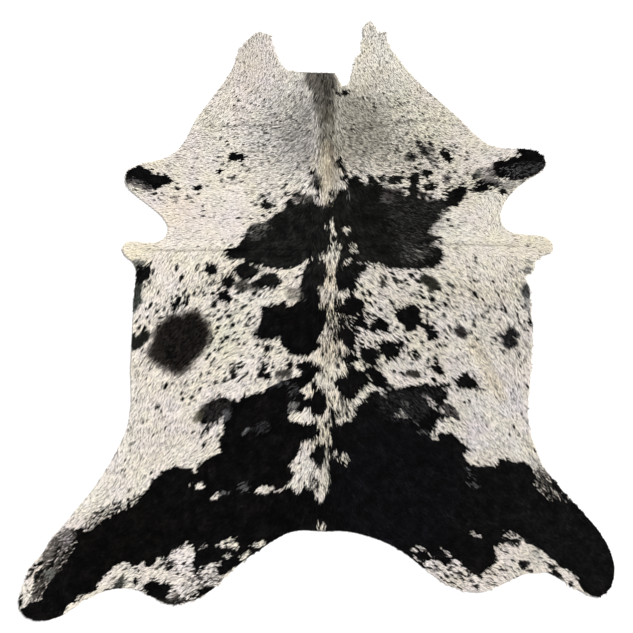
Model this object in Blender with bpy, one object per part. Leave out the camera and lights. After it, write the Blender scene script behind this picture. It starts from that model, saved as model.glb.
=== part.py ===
"""A cowhide rug: one hair-on skin in one piece, lying flat on a level surface.

+Z is up. +Y runs along the spine towards the neck, and +X is to the right for someone who
looks down on the hair side with the neck at the far end. The origin lies on the surface
that the rug rests on, below the middle of the rug's bounding box.

The tables hold millimetres, because a hide is measured with a tape. Everything else is in
metres.
"""

import math
from typing import NamedTuple

import bmesh
import bpy
from mathutils import Vector
from mathutils.geometry import delaunay_2d_cdt

MM = 0.001

# Driving dimensions
SHEET_THICKNESS = 6.0 * MM  # a skin of about 2.5 mm and the hair that lies flat on it
RIM_STEP = 19.0 * MM  # longest step between two points of the rim
GRID_STEP = 44.0 * MM  # spacing of the points inside the sheet
FOLD_ROW_STEP = 34.0 * MM  # spacing of the points along a fold's crest
FOLD_ROWS = (-1.0, -0.5, 0.0, 0.5, 1.0)  # rows of points over a fold, in half widths
ROW_GAP = 15.0 * MM  # points of the fold rows keep this far from each other
GRID_GAP = 26.0 * MM  # points of the even grid keep this far from the fold rows
RIM_GAP = 17.0 * MM  # points inside the sheet keep this far from the rim
SAME_POINT = 0.0001 * MM  # points nearer than this are one point

HIDE_COLOUR = (0.78, 0.74, 0.66, 1.0)
HIDE_ROUGHNESS = 0.75


class Rim(NamedTuple):
    """A point that the cut edge of the hide passes through, in millimetres."""

    x: float
    y: float
    sharp: bool = False


class Fold(NamedTuple):
    """A soft ridge that was pressed into the skin, with its crest through a few knots.

    The ridge runs out over its fade, a length in millimetres at each end of the crest.
    """

    name: str
    crest: tuple
    height: float
    half_width: float
    fade: float


class Lift(NamedTuple):
    """A place at the edge where the dried skin curls up off the surface."""

    name: str
    x: float
    y: float
    radius: float
    height: float


# The cut edge, clockwise from the left cheek. A hide is cut freehand, so each limb has its
# own few points. The curve between two points is smooth, except where a point is sharp.
LEFT_CHEEK = (
    Rim(-490, 662),
    Rim(-446, 744),
    Rim(-390, 821),
    Rim(-324, 910),
    Rim(-303, 950),
    Rim(-287, 998),
    Rim(-261, 1030),
    Rim(-239, 1054),
    Rim(-209, 1068),
    Rim(-176, 1054),
    Rim(-160, 1010),
    Rim(-128, 946),
    Rim(-103, 925, sharp=True),
)
NECK_EDGE = (
    Rim(-46, 921),
    Rim(66, 918, sharp=True),
    Rim(82, 893),
    Rim(88, 871, sharp=True),
    Rim(124, 871, sharp=True),
    Rim(128, 903),
    Rim(139, 943),
    Rim(151, 972),
    Rim(167, 997),
)
RIGHT_CHEEK = (
    Rim(173, 1025),
    Rim(176, 1062),
    Rim(178, 1090),
    Rim(198, 1106),
    Rim(217, 1088),
    Rim(224, 1064, sharp=True),
    Rim(251, 1064),
    Rim(264, 1027),
    Rim(302, 973),
    Rim(350, 914),
    Rim(401, 862),
    Rim(468, 803),
    Rim(538, 740),
    Rim(598, 681),
)
RIGHT_FORELEG = (
    Rim(633, 655),
    Rim(694, 639),
    Rim(753, 638),
    Rim(807, 629),
    Rim(838, 605),
    Rim(846, 583),
    Rim(831, 557),
    Rim(790, 529),
    Rim(731, 483),
    Rim(695, 435),
    Rim(681, 392),
    Rim(691, 353),
    Rim(722, 329),
)
RIGHT_ELBOW_FLAP = (
    Rim(783, 319),
    Rim(845, 310),
    Rim(872, 287),
    Rim(872, 259),
    Rim(831, 242),
    Rim(805, 218),
    Rim(795, 183),
    Rim(768, 162),
    Rim(786, 131),
)
RIGHT_FLANK = (
    Rim(791, 78),
    Rim(797, -15),
    Rim(797, -107),
    Rim(788, -237),
    Rim(783, -337),
    Rim(790, -403),
    Rim(811, -479),
    Rim(838, -542),
)
RIGHT_HIND_LEG = (
    Rim(875, -586),
    Rim(927, -648),
    Rim(990, -714),
    Rim(1049, -784),
    Rim(1083, -844),
    Rim(1100, -903),
    Rim(1097, -951),
    Rim(1079, -992),
    Rim(1038, -1018),
    Rim(997, -1005),
    Rim(908, -958),
    Rim(866, -934),
)
RIGHT_HAUNCH = (
    Rim(808, -929),
    Rim(749, -944),
    Rim(679, -978),
    Rim(620, -999),
    Rim(557, -995),
    Rim(494, -980),
    Rim(398, -914),
    Rim(302, -842),
    Rim(235, -811),
    Rim(157, -787),
)
TAIL_EDGE = (
    Rim(87, -777),
    Rim(35, -779),
    Rim(-61, -775),
    Rim(-105, -784),
)
LEFT_HAUNCH = (
    Rim(-161, -814),
    Rim(-228, -857),
    Rim(-279, -895),
    Rim(-335, -944),
    Rim(-379, -988),
    Rim(-435, -1023),
    Rim(-501, -1043),
    Rim(-557, -1044),
    Rim(-605, -1021),
    Rim(-653, -999),
    Rim(-701, -988),
    Rim(-746, -991),
)
LEFT_HIND_LEG = (
    Rim(-801, -1004),
    Rim(-857, -1030),
    Rim(-897, -1060),
    Rim(-938, -1087),
    Rim(-990, -1104),
    Rim(-1042, -1104),
    Rim(-1083, -1083),
    Rim(-1099, -1051),
    Rim(-1093, -1010),
    Rim(-1079, -962),
    Rim(-1060, -914),
    Rim(-1027, -877),
    Rim(-982, -814),
    Rim(-905, -718),
    Rim(-834, -631),
    Rim(-779, -551),
    Rim(-731, -466),
    Rim(-701, -396),
)
LEFT_FLANK = (
    Rim(-688, -322),
    Rim(-686, -218),
    Rim(-683, -107),
    Rim(-679, 4),
    Rim(-675, 78),
    Rim(-668, 141),
    Rim(-668, 192),
)
LEFT_ELBOW_FLAP = (
    Rim(-683, 222),
    Rim(-709, 248),
    Rim(-716, 270),
    Rim(-705, 289),
    Rim(-679, 295),
    Rim(-627, 289),
    Rim(-583, 294),
    Rim(-557, 315),
    Rim(-549, 345),
    Rim(-564, 377),
    Rim(-601, 414),
    Rim(-649, 451),
)
LEFT_FORELEG = (
    Rim(-686, 488),
    Rim(-705, 523),
    Rim(-696, 555),
    Rim(-664, 574),
    Rim(-609, 590),
    Rim(-557, 605),
    Rim(-516, 631),
)
CUT_EDGE = (
    LEFT_CHEEK
    + NECK_EDGE
    + RIGHT_CHEEK
    + RIGHT_FORELEG
    + RIGHT_ELBOW_FLAP
    + RIGHT_FLANK
    + RIGHT_HIND_LEG
    + RIGHT_HAUNCH
    + TAIL_EDGE
    + LEFT_HAUNCH
    + LEFT_HIND_LEG
    + LEFT_FLANK
    + LEFT_ELBOW_FLAP
    + LEFT_FORELEG
)

FOLDS = (
    Fold("spine ridge", ((45, 850), (50, 560), (44, 240), (30, -110), (17, -450), (28, -730)), 3.5, 38, 90),
    Fold("shoulder crease", ((-680, 270), (-320, 272), (45, 276), (480, 292), (830, 284)), 5, 30, 120),
    Fold("right neck wrinkle", ((68, 710), (198, 714), (309, 745), (425, 752)), 3, 24, 110),
    Fold("left neck wrinkle", ((-290, 727), (-150, 722), (-15, 703)), 2.5, 24, 90),
    Fold("right flank wave", ((400, 150), (500, -60), (590, -300), (665, -600)), 6, 90, 300),
)

LIFTS = (
    Lift("left cheek", -209, 1068, 120, 6),
    Lift("right cheek", 205, 1106, 130, 7),
    Lift("right forefoot", 846, 583, 120, 8),
    Lift("right elbow", 872, 272, 90, 6),
    Lift("right flank edge", 800, -60, 150, 4),
    Lift("right hind foot", 1090, -990, 190, 9),
    Lift("right haunch", 590, -999, 110, 5),
    Lift("left haunch", -530, -1044, 110, 5),
    Lift("left hind foot", -1080, -1090, 180, 8),
    Lift("left flank edge", -690, -160, 140, 4),
    Lift("left elbow", -716, 270, 90, 6),
    Lift("left forefoot", -705, 523, 110, 7),
)


def clear_scene():
    """Removes every object of the scene, so that the hide is alone in it."""
    for old in list(bpy.data.objects):
        bpy.data.objects.remove(old, do_unlink=True)


def smooth_span(before, start, end, after, start_sharp, end_sharp, parts):
    """Points on a smooth curve from start up to, but without, end."""
    length = (end - start).length
    chord = (end - start) / length
    leave = chord
    arrive = chord
    if not start_sharp:
        back = (start - before).length
        leave = ((start - before) / back * length + chord * back) / (back + length)
    if not end_sharp:
        ahead = (after - end).length
        arrive = (chord * ahead + (after - end) / ahead * length) / (ahead + length)
    points = []
    for i in range(parts):
        t = i / parts
        ease = t * t * (3 - 2 * t)
        pull = leave * (t * (1 - t) ** 2) - arrive * (t * t * (1 - t))
        points.append(start.lerp(end, ease) + pull * length)
    return points


def rim_curve():
    """The cut edge as a closed ring of points, at most RIM_STEP apart."""
    knots = [Vector((p.x, p.y)) * MM for p in CUT_EDGE]
    count = len(knots)
    ring = []
    for i in range(count):
        j = (i + 1) % count
        k = (i + 2) % count
        parts = math.ceil((knots[j] - knots[i]).length / RIM_STEP)
        sharp = (CUT_EDGE[i].sharp, CUT_EDGE[j].sharp)
        ring += smooth_span(knots[i - 1], knots[i], knots[j], knots[k], *sharp, parts)
    return ring


def crest_line(fold):
    """The crest of a fold as a row of points, FOLD_ROW_STEP apart or a little less."""
    knots = [Vector(k) * MM for k in fold.crest]
    last = len(knots) - 1
    row = []
    for i in range(last):
        parts = math.ceil((knots[i + 1] - knots[i]).length / FOLD_ROW_STEP)
        before = knots[max(i - 1, 0)]
        after = knots[min(i + 2, last)]
        row += smooth_span(before, knots[i], knots[i + 1], after, i == 0, i + 1 == last, parts)
    return row + [knots[last]]


def nearest_on_line(point, line):
    """Distance from a point to a row of points, and the distance along the row to there."""
    best = (math.inf, 0.0)
    along = 0.0
    for a, b in zip(line, line[1:]):
        run = b - a
        share = min(max((point - a).dot(run) / run.length_squared, 0.0), 1.0)
        away = (point - (a + run * share)).length
        if away < best[0]:
            best = (away, along + share * run.length)
        along += run.length
    return best


def bump(distance, reach):
    """A soft hump: 1 at its middle, and level with the surface at its reach."""
    if distance >= reach:
        return 0.0
    return 0.5 + 0.5 * math.cos(math.pi * distance / reach)


def sheet_height(point, crests):
    """How far the underside of the skin stands off the surface at a point."""
    height = 0.0
    for fold, (line, length) in zip(FOLDS, crests):
        away, along = nearest_on_line(point, line)
        to_end = min(along, length - along)
        crest_height = fold.height * MM * (1.0 - bump(to_end, fold.fade * MM))
        height = max(height, crest_height * bump(away, fold.half_width * MM))
    for lift in LIFTS:
        away = (point - Vector((lift.x, lift.y)) * MM).length
        height = max(height, lift.height * MM * bump(away, lift.radius * MM))
    return height


def is_inside(point, ring):
    """Whether a point lies inside a closed ring of points."""
    inside = False
    for a, b in zip(ring, ring[1:] + ring[:1]):
        if (a.y > point.y) == (b.y > point.y):
            continue
        crossing = a.x + (point.y - a.y) / (b.y - a.y) * (b.x - a.x)
        if point.x < crossing:
            inside = not inside
    return inside


def fold_rows(crests):
    """Rows of points along and beside each crest, so that the mesh follows the folds."""
    rows = []
    for fold, (line, _) in zip(FOLDS, crests):
        for i, point in enumerate(line):
            run = line[min(i + 1, len(line) - 1)] - line[max(i - 1, 0)]
            across = Vector((-run.y, run.x)).normalized() * (fold.half_width * MM)
            rows += [point + across * share for share in FOLD_ROWS]
    return rows


def even_grid(ring):
    """A grid of points in staggered rows over the whole of the rim's bounding box."""
    x_low = min(p.x for p in ring)
    x_high = max(p.x for p in ring)
    y_low = min(p.y for p in ring)
    y_high = max(p.y for p in ring)
    row_step = GRID_STEP * math.sqrt(0.75)
    grid = []
    for row in range(math.ceil((y_high - y_low) / row_step)):
        shift = GRID_STEP / 2 * (row % 2)
        for column in range(math.ceil((x_high - x_low) / GRID_STEP)):
            grid.append(Vector((x_low + shift + column * GRID_STEP, y_low + row * row_step)))
    return grid


def far_from(point, others, gap):
    """Whether a point keeps at least a gap to every other point."""
    return all((point - other).length >= gap for other in others)


def inner_points(ring, crests):
    """The points inside the sheet: rows over the folds, and the even grid between them."""
    closed = ring + ring[:1]

    def well_inside(point):
        return is_inside(point, ring) and nearest_on_line(point, closed)[0] > RIM_GAP

    over_folds = []
    for point in fold_rows(crests):
        if far_from(point, over_folds, ROW_GAP) and well_inside(point):
            over_folds.append(point)
    between = [p for p in even_grid(ring) if far_from(p, over_folds, GRID_GAP) and well_inside(p)]
    return over_folds + between


def build_sheet(name):
    """The hide as one closed sheet: its underside follows the surface and the folds."""
    ring = rim_curve()
    lines = [crest_line(fold) for fold in FOLDS]
    crests = [(line, sum((b - a).length for a, b in zip(line, line[1:]))) for line in lines]
    whole_rim = [list(range(len(ring)))]
    only_inside = 1
    seeds = ring + inner_points(ring, crests)
    points, _, faces, _, _, _ = delaunay_2d_cdt(seeds, [], whole_rim, only_inside, SAME_POINT)
    sheet = bmesh.new()
    corners = [sheet.verts.new((p.x, p.y, sheet_height(p, crests))) for p in points]
    for face in faces:
        sheet.faces.new([corners[i] for i in face])
    loose = [v for v in sheet.verts if not v.link_faces]
    bmesh.ops.delete(sheet, geom=loose, context="VERTS")
    for face in sheet.faces:
        face.normal_update()
        if face.normal.z < 0:
            face.normal_flip()
        face.smooth = True
    mesh = bpy.data.meshes.new(name)
    sheet.to_mesh(mesh)
    sheet.free()
    hide = bpy.data.objects.new(name, mesh)
    bpy.context.scene.collection.objects.link(hide)
    return hide


def give_thickness(hide):
    """Thickens the sheet upwards, so that its underside stays where it is."""
    solid = hide.modifiers.new("thickness", "SOLIDIFY")
    solid.thickness = SHEET_THICKNESS
    solid.offset = 1.0
    solid.use_even_offset = False


def hide_material():
    """The ivory hair coat, soft and without gloss."""
    material = bpy.data.materials.new("hair_on_hide")
    material.use_nodes = True
    shader = material.node_tree.nodes["Principled BSDF"]
    shader.inputs["Base Color"].default_value = HIDE_COLOUR
    shader.inputs["Roughness"].default_value = HIDE_ROUGHNESS
    shader.inputs["Metallic"].default_value = 0.0
    return material


clear_scene()
cowhide = build_sheet("hide")
give_thickness(cowhide)
cowhide.data.materials.append(hide_material())
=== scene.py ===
"""Looks of a one-piece cowhide rug: the tanned skin, and the coat of short hair that grows on it.

+Z is up through the hair side, +Y runs along the spine towards the neck, and +X is to the right
for someone who looks down on the coat with the neck at the far end.

The markings are drawn on a chart, whose squares are 3.7 mm wide. Its x counts to the right
and its y from the neck towards the tail. Everything else is in metres, except the tables of folds,
lifts and hair lengths, which hold millimetres.
"""

import logging
import math
from dataclasses import dataclass
from enum import Enum
from typing import Callable, NamedTuple, Sequence

import bmesh
import bpy
import numpy as np
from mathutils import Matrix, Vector
from mathutils.geometry import delaunay_2d_cdt
from mathutils.kdtree import KDTree


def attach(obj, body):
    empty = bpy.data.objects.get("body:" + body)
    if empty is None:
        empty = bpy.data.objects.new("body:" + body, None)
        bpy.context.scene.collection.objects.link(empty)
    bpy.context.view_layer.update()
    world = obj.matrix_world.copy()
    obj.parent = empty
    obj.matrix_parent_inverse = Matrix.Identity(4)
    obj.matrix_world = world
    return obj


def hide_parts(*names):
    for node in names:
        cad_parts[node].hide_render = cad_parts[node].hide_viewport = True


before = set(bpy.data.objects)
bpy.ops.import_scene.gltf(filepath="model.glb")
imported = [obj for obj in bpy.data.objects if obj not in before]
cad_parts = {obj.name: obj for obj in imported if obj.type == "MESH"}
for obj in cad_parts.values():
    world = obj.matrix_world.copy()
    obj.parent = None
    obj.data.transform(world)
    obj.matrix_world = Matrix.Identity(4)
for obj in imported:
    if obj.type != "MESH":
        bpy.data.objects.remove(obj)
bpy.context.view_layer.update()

LOG = logging.getLogger("cowhide_rug")
MM = 0.001
TINY = 1e-9
BODY = "root"
NODE = "hide"

Knots = tuple[tuple[float, float], ...]
Colour = tuple[float, float, float]


# ----------------------------------------------------------------------------------------------
# The words and rows that the chart is written in
# ----------------------------------------------------------------------------------------------


class Mark(Enum):
    """What a marking does to the hairs that grow inside it."""

    BLACK = "black"
    WHITE = "white"
    TINT = "tint"
    ROAN = "roan"


class Patch(NamedTuple):
    """A marking drawn as a closed outline, with its soft edge's width in squares."""

    name: str
    mark: Mark
    edge: str
    feather: float = 1.0
    strength: float = 1.0
    tone: Colour = (19, 18, 18)


class Fleck(NamedTuple):
    """A small dark marking that lies along the hair, with its size in squares."""

    x: float
    y: float
    length: float
    width: float
    strength: float = 1.0


class Ticking(NamedTuple):
    """An area that is strewn with small dark flecks."""

    name: str
    edge: str
    count: int
    length: float
    width: float


class Cast(NamedTuple):
    """A round area where the hair leans towards another colour."""

    name: str
    x: float
    y: float
    radius: float
    colour: Colour
    strength: float


class Area(NamedTuple):
    """A round area with smooth hair, or rough where its share is negative, or with a shaggy rim."""

    x: float
    y: float
    radius: float
    share: float


class Guide(NamedTuple):
    """The way the hair points at a place, in degrees from +X, and its length in millimetres."""

    x: float
    y: float
    degrees: float
    length: float


class Fold(NamedTuple):
    """A soft ridge pressed into the skin, in millimetres, with its tail side's share of the width."""

    name: str
    crest: Knots
    height: float
    half_width: float
    fade: float
    tail_side: float = 1.0


class Lift(NamedTuple):
    """A place at the edge where the dried skin curls up. All its lengths are millimetres."""

    name: str
    x: float
    y: float
    radius: float
    height: float


def rows_of(kind: Callable, text: str) -> tuple:
    """Reads rows of the chart, each with its numbers joined by commas."""
    return tuple(kind(*map(float, row.split(","))) for row in text.split())


def corners(text: str) -> np.ndarray:
    """Reads a marking's outline, one "x,y" for each corner."""
    return np.array([row.split(",") for row in text.split()], float)


def marks_of(text: str) -> tuple[Patch, ...]:
    """Reads markings.

    Args:
        text: A row for each, "name: mark feather strength tone: corners", which may run on over
            more lines. The tone is left out where it is the usual one.

    Returns:
        The markings.
    """
    rows: list[list[str]] = []
    for line in text.strip().splitlines():
        if ":" in line:
            rows.append(line.split(":"))
        else:
            rows[-1][2] += " " + line
    patches = []
    for name, manner, edge in rows:
        mark, feather, strength, *tone = manner.split()
        patch = Patch(name, Mark(mark), edge, float(feather), float(strength))
        patches.append(patch._replace(tone=tuple(map(int, tone[0].split(",")))) if tone else patch)
    return tuple(patches)


# ----------------------------------------------------------------------------------------------
# The relief of the skin, as the solid has it
# ----------------------------------------------------------------------------------------------

FOLDS = (
    Fold("spine ridge", ((45, 850), (50, 560), (44, 240), (30, -110), (17, -450), (28, -730)), 3.5, 38, 90),
    Fold("shoulder crease", ((-680, 270), (-320, 272), (45, 276), (480, 292), (830, 284)), 5, 30, 120, 0.4),
    Fold("right neck wrinkle", ((68, 710), (198, 714), (309, 745), (425, 752)), 3, 24, 110),
    Fold("left neck wrinkle", ((-290, 727), (-150, 722), (-15, 703)), 2.5, 24, 90),
    Fold("right flank wave", ((400, 150), (500, -60), (590, -300), (665, -600)), 6, 90, 300),
)

LIFTS = (
    Lift("left cheek", -209, 1068, 120, 6),
    Lift("right cheek", 205, 1106, 130, 7),
    Lift("right forefoot", 846, 583, 120, 8),
    Lift("right elbow", 872, 272, 90, 6),
    Lift("right flank edge", 800, -60, 150, 4),
    Lift("right hind foot", 1090, -990, 190, 9),
    Lift("right haunch", 590, -999, 110, 5),
    Lift("left haunch", -530, -1044, 110, 5),
    Lift("left hind foot", -1080, -1090, 180, 8),
    Lift("left flank edge", -690, -160, 140, 4),
    Lift("left elbow", -716, 270, 90, 6),
    Lift("left forefoot", -705, 523, 110, 7),
)


# ----------------------------------------------------------------------------------------------
# The way the hair lies
# ----------------------------------------------------------------------------------------------

SPINE_HAIR = rows_of(Guide,
    "326,75,-90,24 326,120,-90,24 328,160,-90,26 330,200,-90,22 331,250,-90,20 330,300,-90,22 "
    "330,350,-90,22 328,400,-90,20 324,450,-90,20 322,500,-90,18 321,530,-90,18")
LEFT_NECK_HAIR = rows_of(Guide,
    "258,38,-88,9 248,62,-98,10 300,82,-120,11 272,82,-115,11 255,92,-125,10 226,112,-140,11 "
    "302,120,-150,11 270,120,-160,11 240,132,-168,11 302,160,-150,14 260,165,-168,14 "
    "215,150,-172,13 185,168,-178,14")
LEFT_SHOULDER_HAIR = rows_of(Guide,
    "170,182,172,14 138,178,166,12 200,200,-178,16 240,200,-168,17 285,200,-152,17 "
    "200,230,-176,16 172,228,-172,15 142,245,-170,14 126,249,-172,12")
LEFT_FLANK_HAIR = rows_of(Guide,
    "285,250,-148,17 240,260,-143,17 215,266,-131,17 190,270,-120,17 162,268,-110,17 140,282,-108,18 "
    "180,288,-112,17 150,296,-112,17 212,288,-130,17 "
    "290,300,-144,17 250,300,-142,17 220,320,-140,17 190,320,-132,17 160,320,-122,18 "
    "140,320,-114,20 290,350,-140,17 250,350,-140,17 210,360,-137,17 175,370,-125,17 "
    "145,380,-115,20 290,400,-138,17 250,410,-138,17 210,420,-130,17 170,430,-120,17 "
    "140,440,-118,18 120,462,-120,18")
LEFT_HIND_HAIR = rows_of(Guide,
    "290,460,-130,16 250,470,-140,16 210,480,-140,16 170,490,-135,16 130,500,-130,16 "
    "100,520,-135,15 280,520,-122,16 240,530,-150,16 200,540,-155,16 160,540,-150,15 "
    "120,550,-148,14 80,560,-145,14 50,580,-140,13 28,602,-128,12 230,560,-156,16 190,582,-157,16 "
    "150,590,-155,15 110,590,-155,14")
RIGHT_NECK_HAIR = rows_of(Guide,
    "371,32,-92,9 384,52,-85,10 350,84,-62,11 385,82,-56,10 402,100,-40,10 430,120,-30,11 "
    "354,120,-32,11 390,130,-18,10 430,150,-14,12 354,160,-28,13 400,165,-10,13 460,160,-8,13")
RIGHT_SHOULDER_HAIR = rows_of(Guide,
    "486,186,22,15 515,172,22,13 540,161,20,12 490,204,-78,12 497,220,-88,12 478,216,-30,14 "
    "466,198,2,15 450,220,-12,16 400,220,-20,17 362,220,-35,17 470,243,-12,16 502,241,-10,15 "
    "542,250,-14,13")
RIGHT_FLANK_HAIR = rows_of(Guide,
    "362,260,-38,17 400,270,-32,17 440,270,-34,17 470,257,-50,17 484,276,-55,17 500,268,-60,17 "
    "515,282,-64,19 362,310,-42,17 "
    "400,310,-40,17 440,320,-42,17 480,320,-48,17 516,320,-60,20 362,360,-42,17 400,360,-42,17 "
    "440,370,-43,17 480,370,-50,17 516,380,-62,20 370,410,-45,17 410,410,-42,17 450,420,-45,17 "
    "490,420,-52,17 520,430,-60,18")
RIGHT_HIND_HAIR = rows_of(Guide,
    "360,460,-50,16 400,470,-42,16 450,480,-42,16 500,480,-45,16 542,480,-50,15 360,520,-58,16 "
    "410,530,-32,16 460,540,-28,16 510,540,-30,15 560,540,-38,14 592,572,-45,13 560,572,-35,14 "
    "430,570,-25,16 480,580,-22,15 530,565,-28,14")
GUIDES = (
    SPINE_HAIR
    + LEFT_NECK_HAIR
    + LEFT_SHOULDER_HAIR
    + LEFT_FLANK_HAIR
    + LEFT_HIND_HAIR
    + RIGHT_NECK_HAIR
    + RIGHT_SHOULDER_HAIR
    + RIGHT_FLANK_HAIR
    + RIGHT_HIND_HAIR
)


# ----------------------------------------------------------------------------------------------
# The chart of the markings, in the order in which they cover each other
# ----------------------------------------------------------------------------------------------

# The two neck wrinkle rows are painted shadow: thin dark lines along the neck's folds, where they shade the
# hair.
NECK_MARKS = marks_of("""
left neck grey: tint 18 .4 168,165,160: 262,96 280,78 306,74 318,100 320,140 320,160 308,180 286,184 270,176
260,164 252,150 253,122
left neck dark grey: tint 14 .55 150,146,142: 296,100 318,96 320,140 320,156 306,166 290,158 280,140 286,118
right neck olive: tint 19 .36 166,161,146: 338,92 378,78 396,94 424,124 434,150 424,164 384,174 350,176
336,160 334,120
right neck dark olive: tint 14 .6 148,143,130: 338,96 356,92 384,110 392,140 380,158 352,162 336,150
right neck crease: tint .9 .5 96,91,84: 332,130 350,129 375,126 400,121.5 440,118.5 440,120.2 400,123.4
375,127.8 350,130.8 332,131.6
left neck crease: tint .9 .35 110,106,100: 205,126 250,124.5 300,124 318,126 318,127.4 300,125.6 250,126.2
205,127.6
right shoulder roan: roan 8 .1: 394,140 440,136 470,158 474,186 440,200 400,192 384,168
""")

SADDLE = marks_of("""
left saddle: black 1 1: 223,252 229,250 236,249 240,246 243,240 246,232 250,228 254,226 264,224 271,219
276,213 282,212 286,210 285,205 286,201 290,201 293,204 300,205 306,204 311,201 314,204 318,206 321,205
325,206 328,201 332,203 334,200 337,206 341,204 343,203 346,219 338,222 336,240 331,250 327,262 322,266
312,263 300,266 288,269 272,268 258,266 246,262 243,259 232,260 229,257
right saddle: black 1 1: 341,204 342,198 343,193 347,189 349,186 350,182 355,178 361,183 366,185 374,186
377,183 382,182 384,188 389,190 395,195 400,196 407,197 414,197 420,199 430,202 436,201 442,200 447,202
454,205 446,208 443,212 440,217 437,222 432,226 430,230 430,235 441,238 440,241 428,244 430,247 437,248
442,250 444,254 443,259 440,263 437,266 430,267 420,269 410,269 400,268 390,268 383,266 380,263 370,263
355,262 348,266 339,268 337,258 338,248 336,240 338,222 343,215
saddle button: black .9 1: 443,203 448,199 447,195 451,191 457,189 461,187 466,187 468,191 466,193 467,196
463,199 459,202 456,205 450,206
white beside the spine: white .8 1: 342,230 345,227.5 348,229 352,227 351,231 348,232 347,235 343,234
grey beside the spine: white 1 .45: 350.5,246 357,245 359,250 356,255 351,254.5
white under the saddle: white .8 1: 341,266 344,262.5 348,260.5 351,258 353.5,260 351,263 346,266.5
342,267.5
saddle's white streak one: white .7 .8: 415,250 423,251 423,253 415,252
saddle's white streak two: white .7 .7: 405,255 409,255 409,257 405,257
saddle's white streak three: white .7 .8: 419,256 424,257 424,259 419,258
left saddle's brown streaks: tint 1.5 .55 78,76,72: 246,232 250,225 258,223 269,222 272,229 266,236 256,241
247,239
left saddle's ragged corner: roan 2 .3: 244,238 248,226 258,221 272,218 270,228 258,234 250,242
left saddle's white streaks: white 1 .3: 250,232 254,229 262,227 268,226 266,229 258,231 252,235
left saddle's tip: black .9 1: 225,250 232,249 245,246 246,257 240,259 230,259 226,255
right saddle's grey streaks: white 3 .12: 398,246 425,243 432,252 424,262 402,262
saddle's grey corner: tint 1.5 .6 84,80,80: 382,195 388,194 396,197 396,202 386,204 381,200
right saddle's mottle: tint 7 .35 56,55,52: 388,192 432,202 446,206 440,222 432,236 440,250 424,264 398,264
392,236
saddle's grey step: tint 1 .5 130,130,128: 347,192 352,194 350,199 347,199
""")

SPINE_SIDE_MARKS = marks_of("""
dark right of the mane's foot: black 1.2 .8: 337,192 341,194 344,199 343,206 336,206 337,200
arm of the spine: white .7 .85: 338.8,302.5 344,302 346,304.5 341,305.5 338.5,304.5
wedge left of the spine: white .8 .9: 296,266 303,262 308,260.5 313,259.5 313,262.5 309,266 305,271 302,276
298,284 294,284
left streak of the spine: white .6 .6: 309,295.5 314,296.5 314,298 309,297
lower left streak of the spine: white .5 .8: 304,316.5 310,317 310,318.3 304,317.8
beside the spine one: black 1 1: 339,268 348,266 355,262 368,268 362,273 359,277 356,281 354,284 356,287
358,290 354,292 352,296 350,293 341,293 339,290 337,284
beside the spine two: black 1 1: 345,301 348,298 354,298 360,300 364,303 366,308 362,310 359,314 354,316
349,315 344,313 338,314 336,310 338,306 343,304
beside the spine blob: black .8 1: 333,300 336,298 341,299 341,303 336,304
beside the spine three: black 1 1: 357,318 363,315 367,318 365,322 369,326 367,330 362,327 357,326
beside the spine four: black 1 1: 340,334 346,328 350,331 353,335 357,336 358,339 355,341 355,345 354,349
350,350 347,347 344,343 341,342 340,338
beside the spine five: black 1 1: 344,353 347,352 351,352 355,356 358,358 363,361 356,361 354,364 349,365
345,361 341,358 342,355
button beside the spine: black 1 1: 361,350 366,349 371,348 375,350 379,354 379,358 377,362 375,365 370,364
366,361 363,359 363,356 361,353
thin line beside the spine: black .6 .8: 341,360 343,361 347,366 351,370 349,371 345,367
right loin: black 1 1: 335,377 340,375 347,374 350,370 349,367 353,367 357,370 362,373 364,372 367,368
371,367 374,369 378,372 384,376 387,381 389,386 386,389 381,387 376,386 372,383 369,385 367,389 364,391
361,391 358,394 357,398 356,401 350,402 346,401 343,396 339,391 336,388
right loin's grey streaks: white .7 .5: 366,374 371,375 370,377 366,377
right loin's white streak: white .6 .8: 373,377 375,378 373,381 372,380
bean on the right flank: black 1 1: 371,331 372.5,326 374,321 381,319 385,321 389,325 390,329 387,333
382,331 376,332
right flank's bootee: black 1 1: 378,348 381,344 385,343 390,342 395,344 401,342 404,343 405,346 402,348
397,346 396,348 399,350 400,354 399,357 394,359 391,361 388,361 386,357 382,352
small dark patch: black 1 .9: 371,395 376,392 380,393 383,397 376,400 368,399
""")

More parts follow.
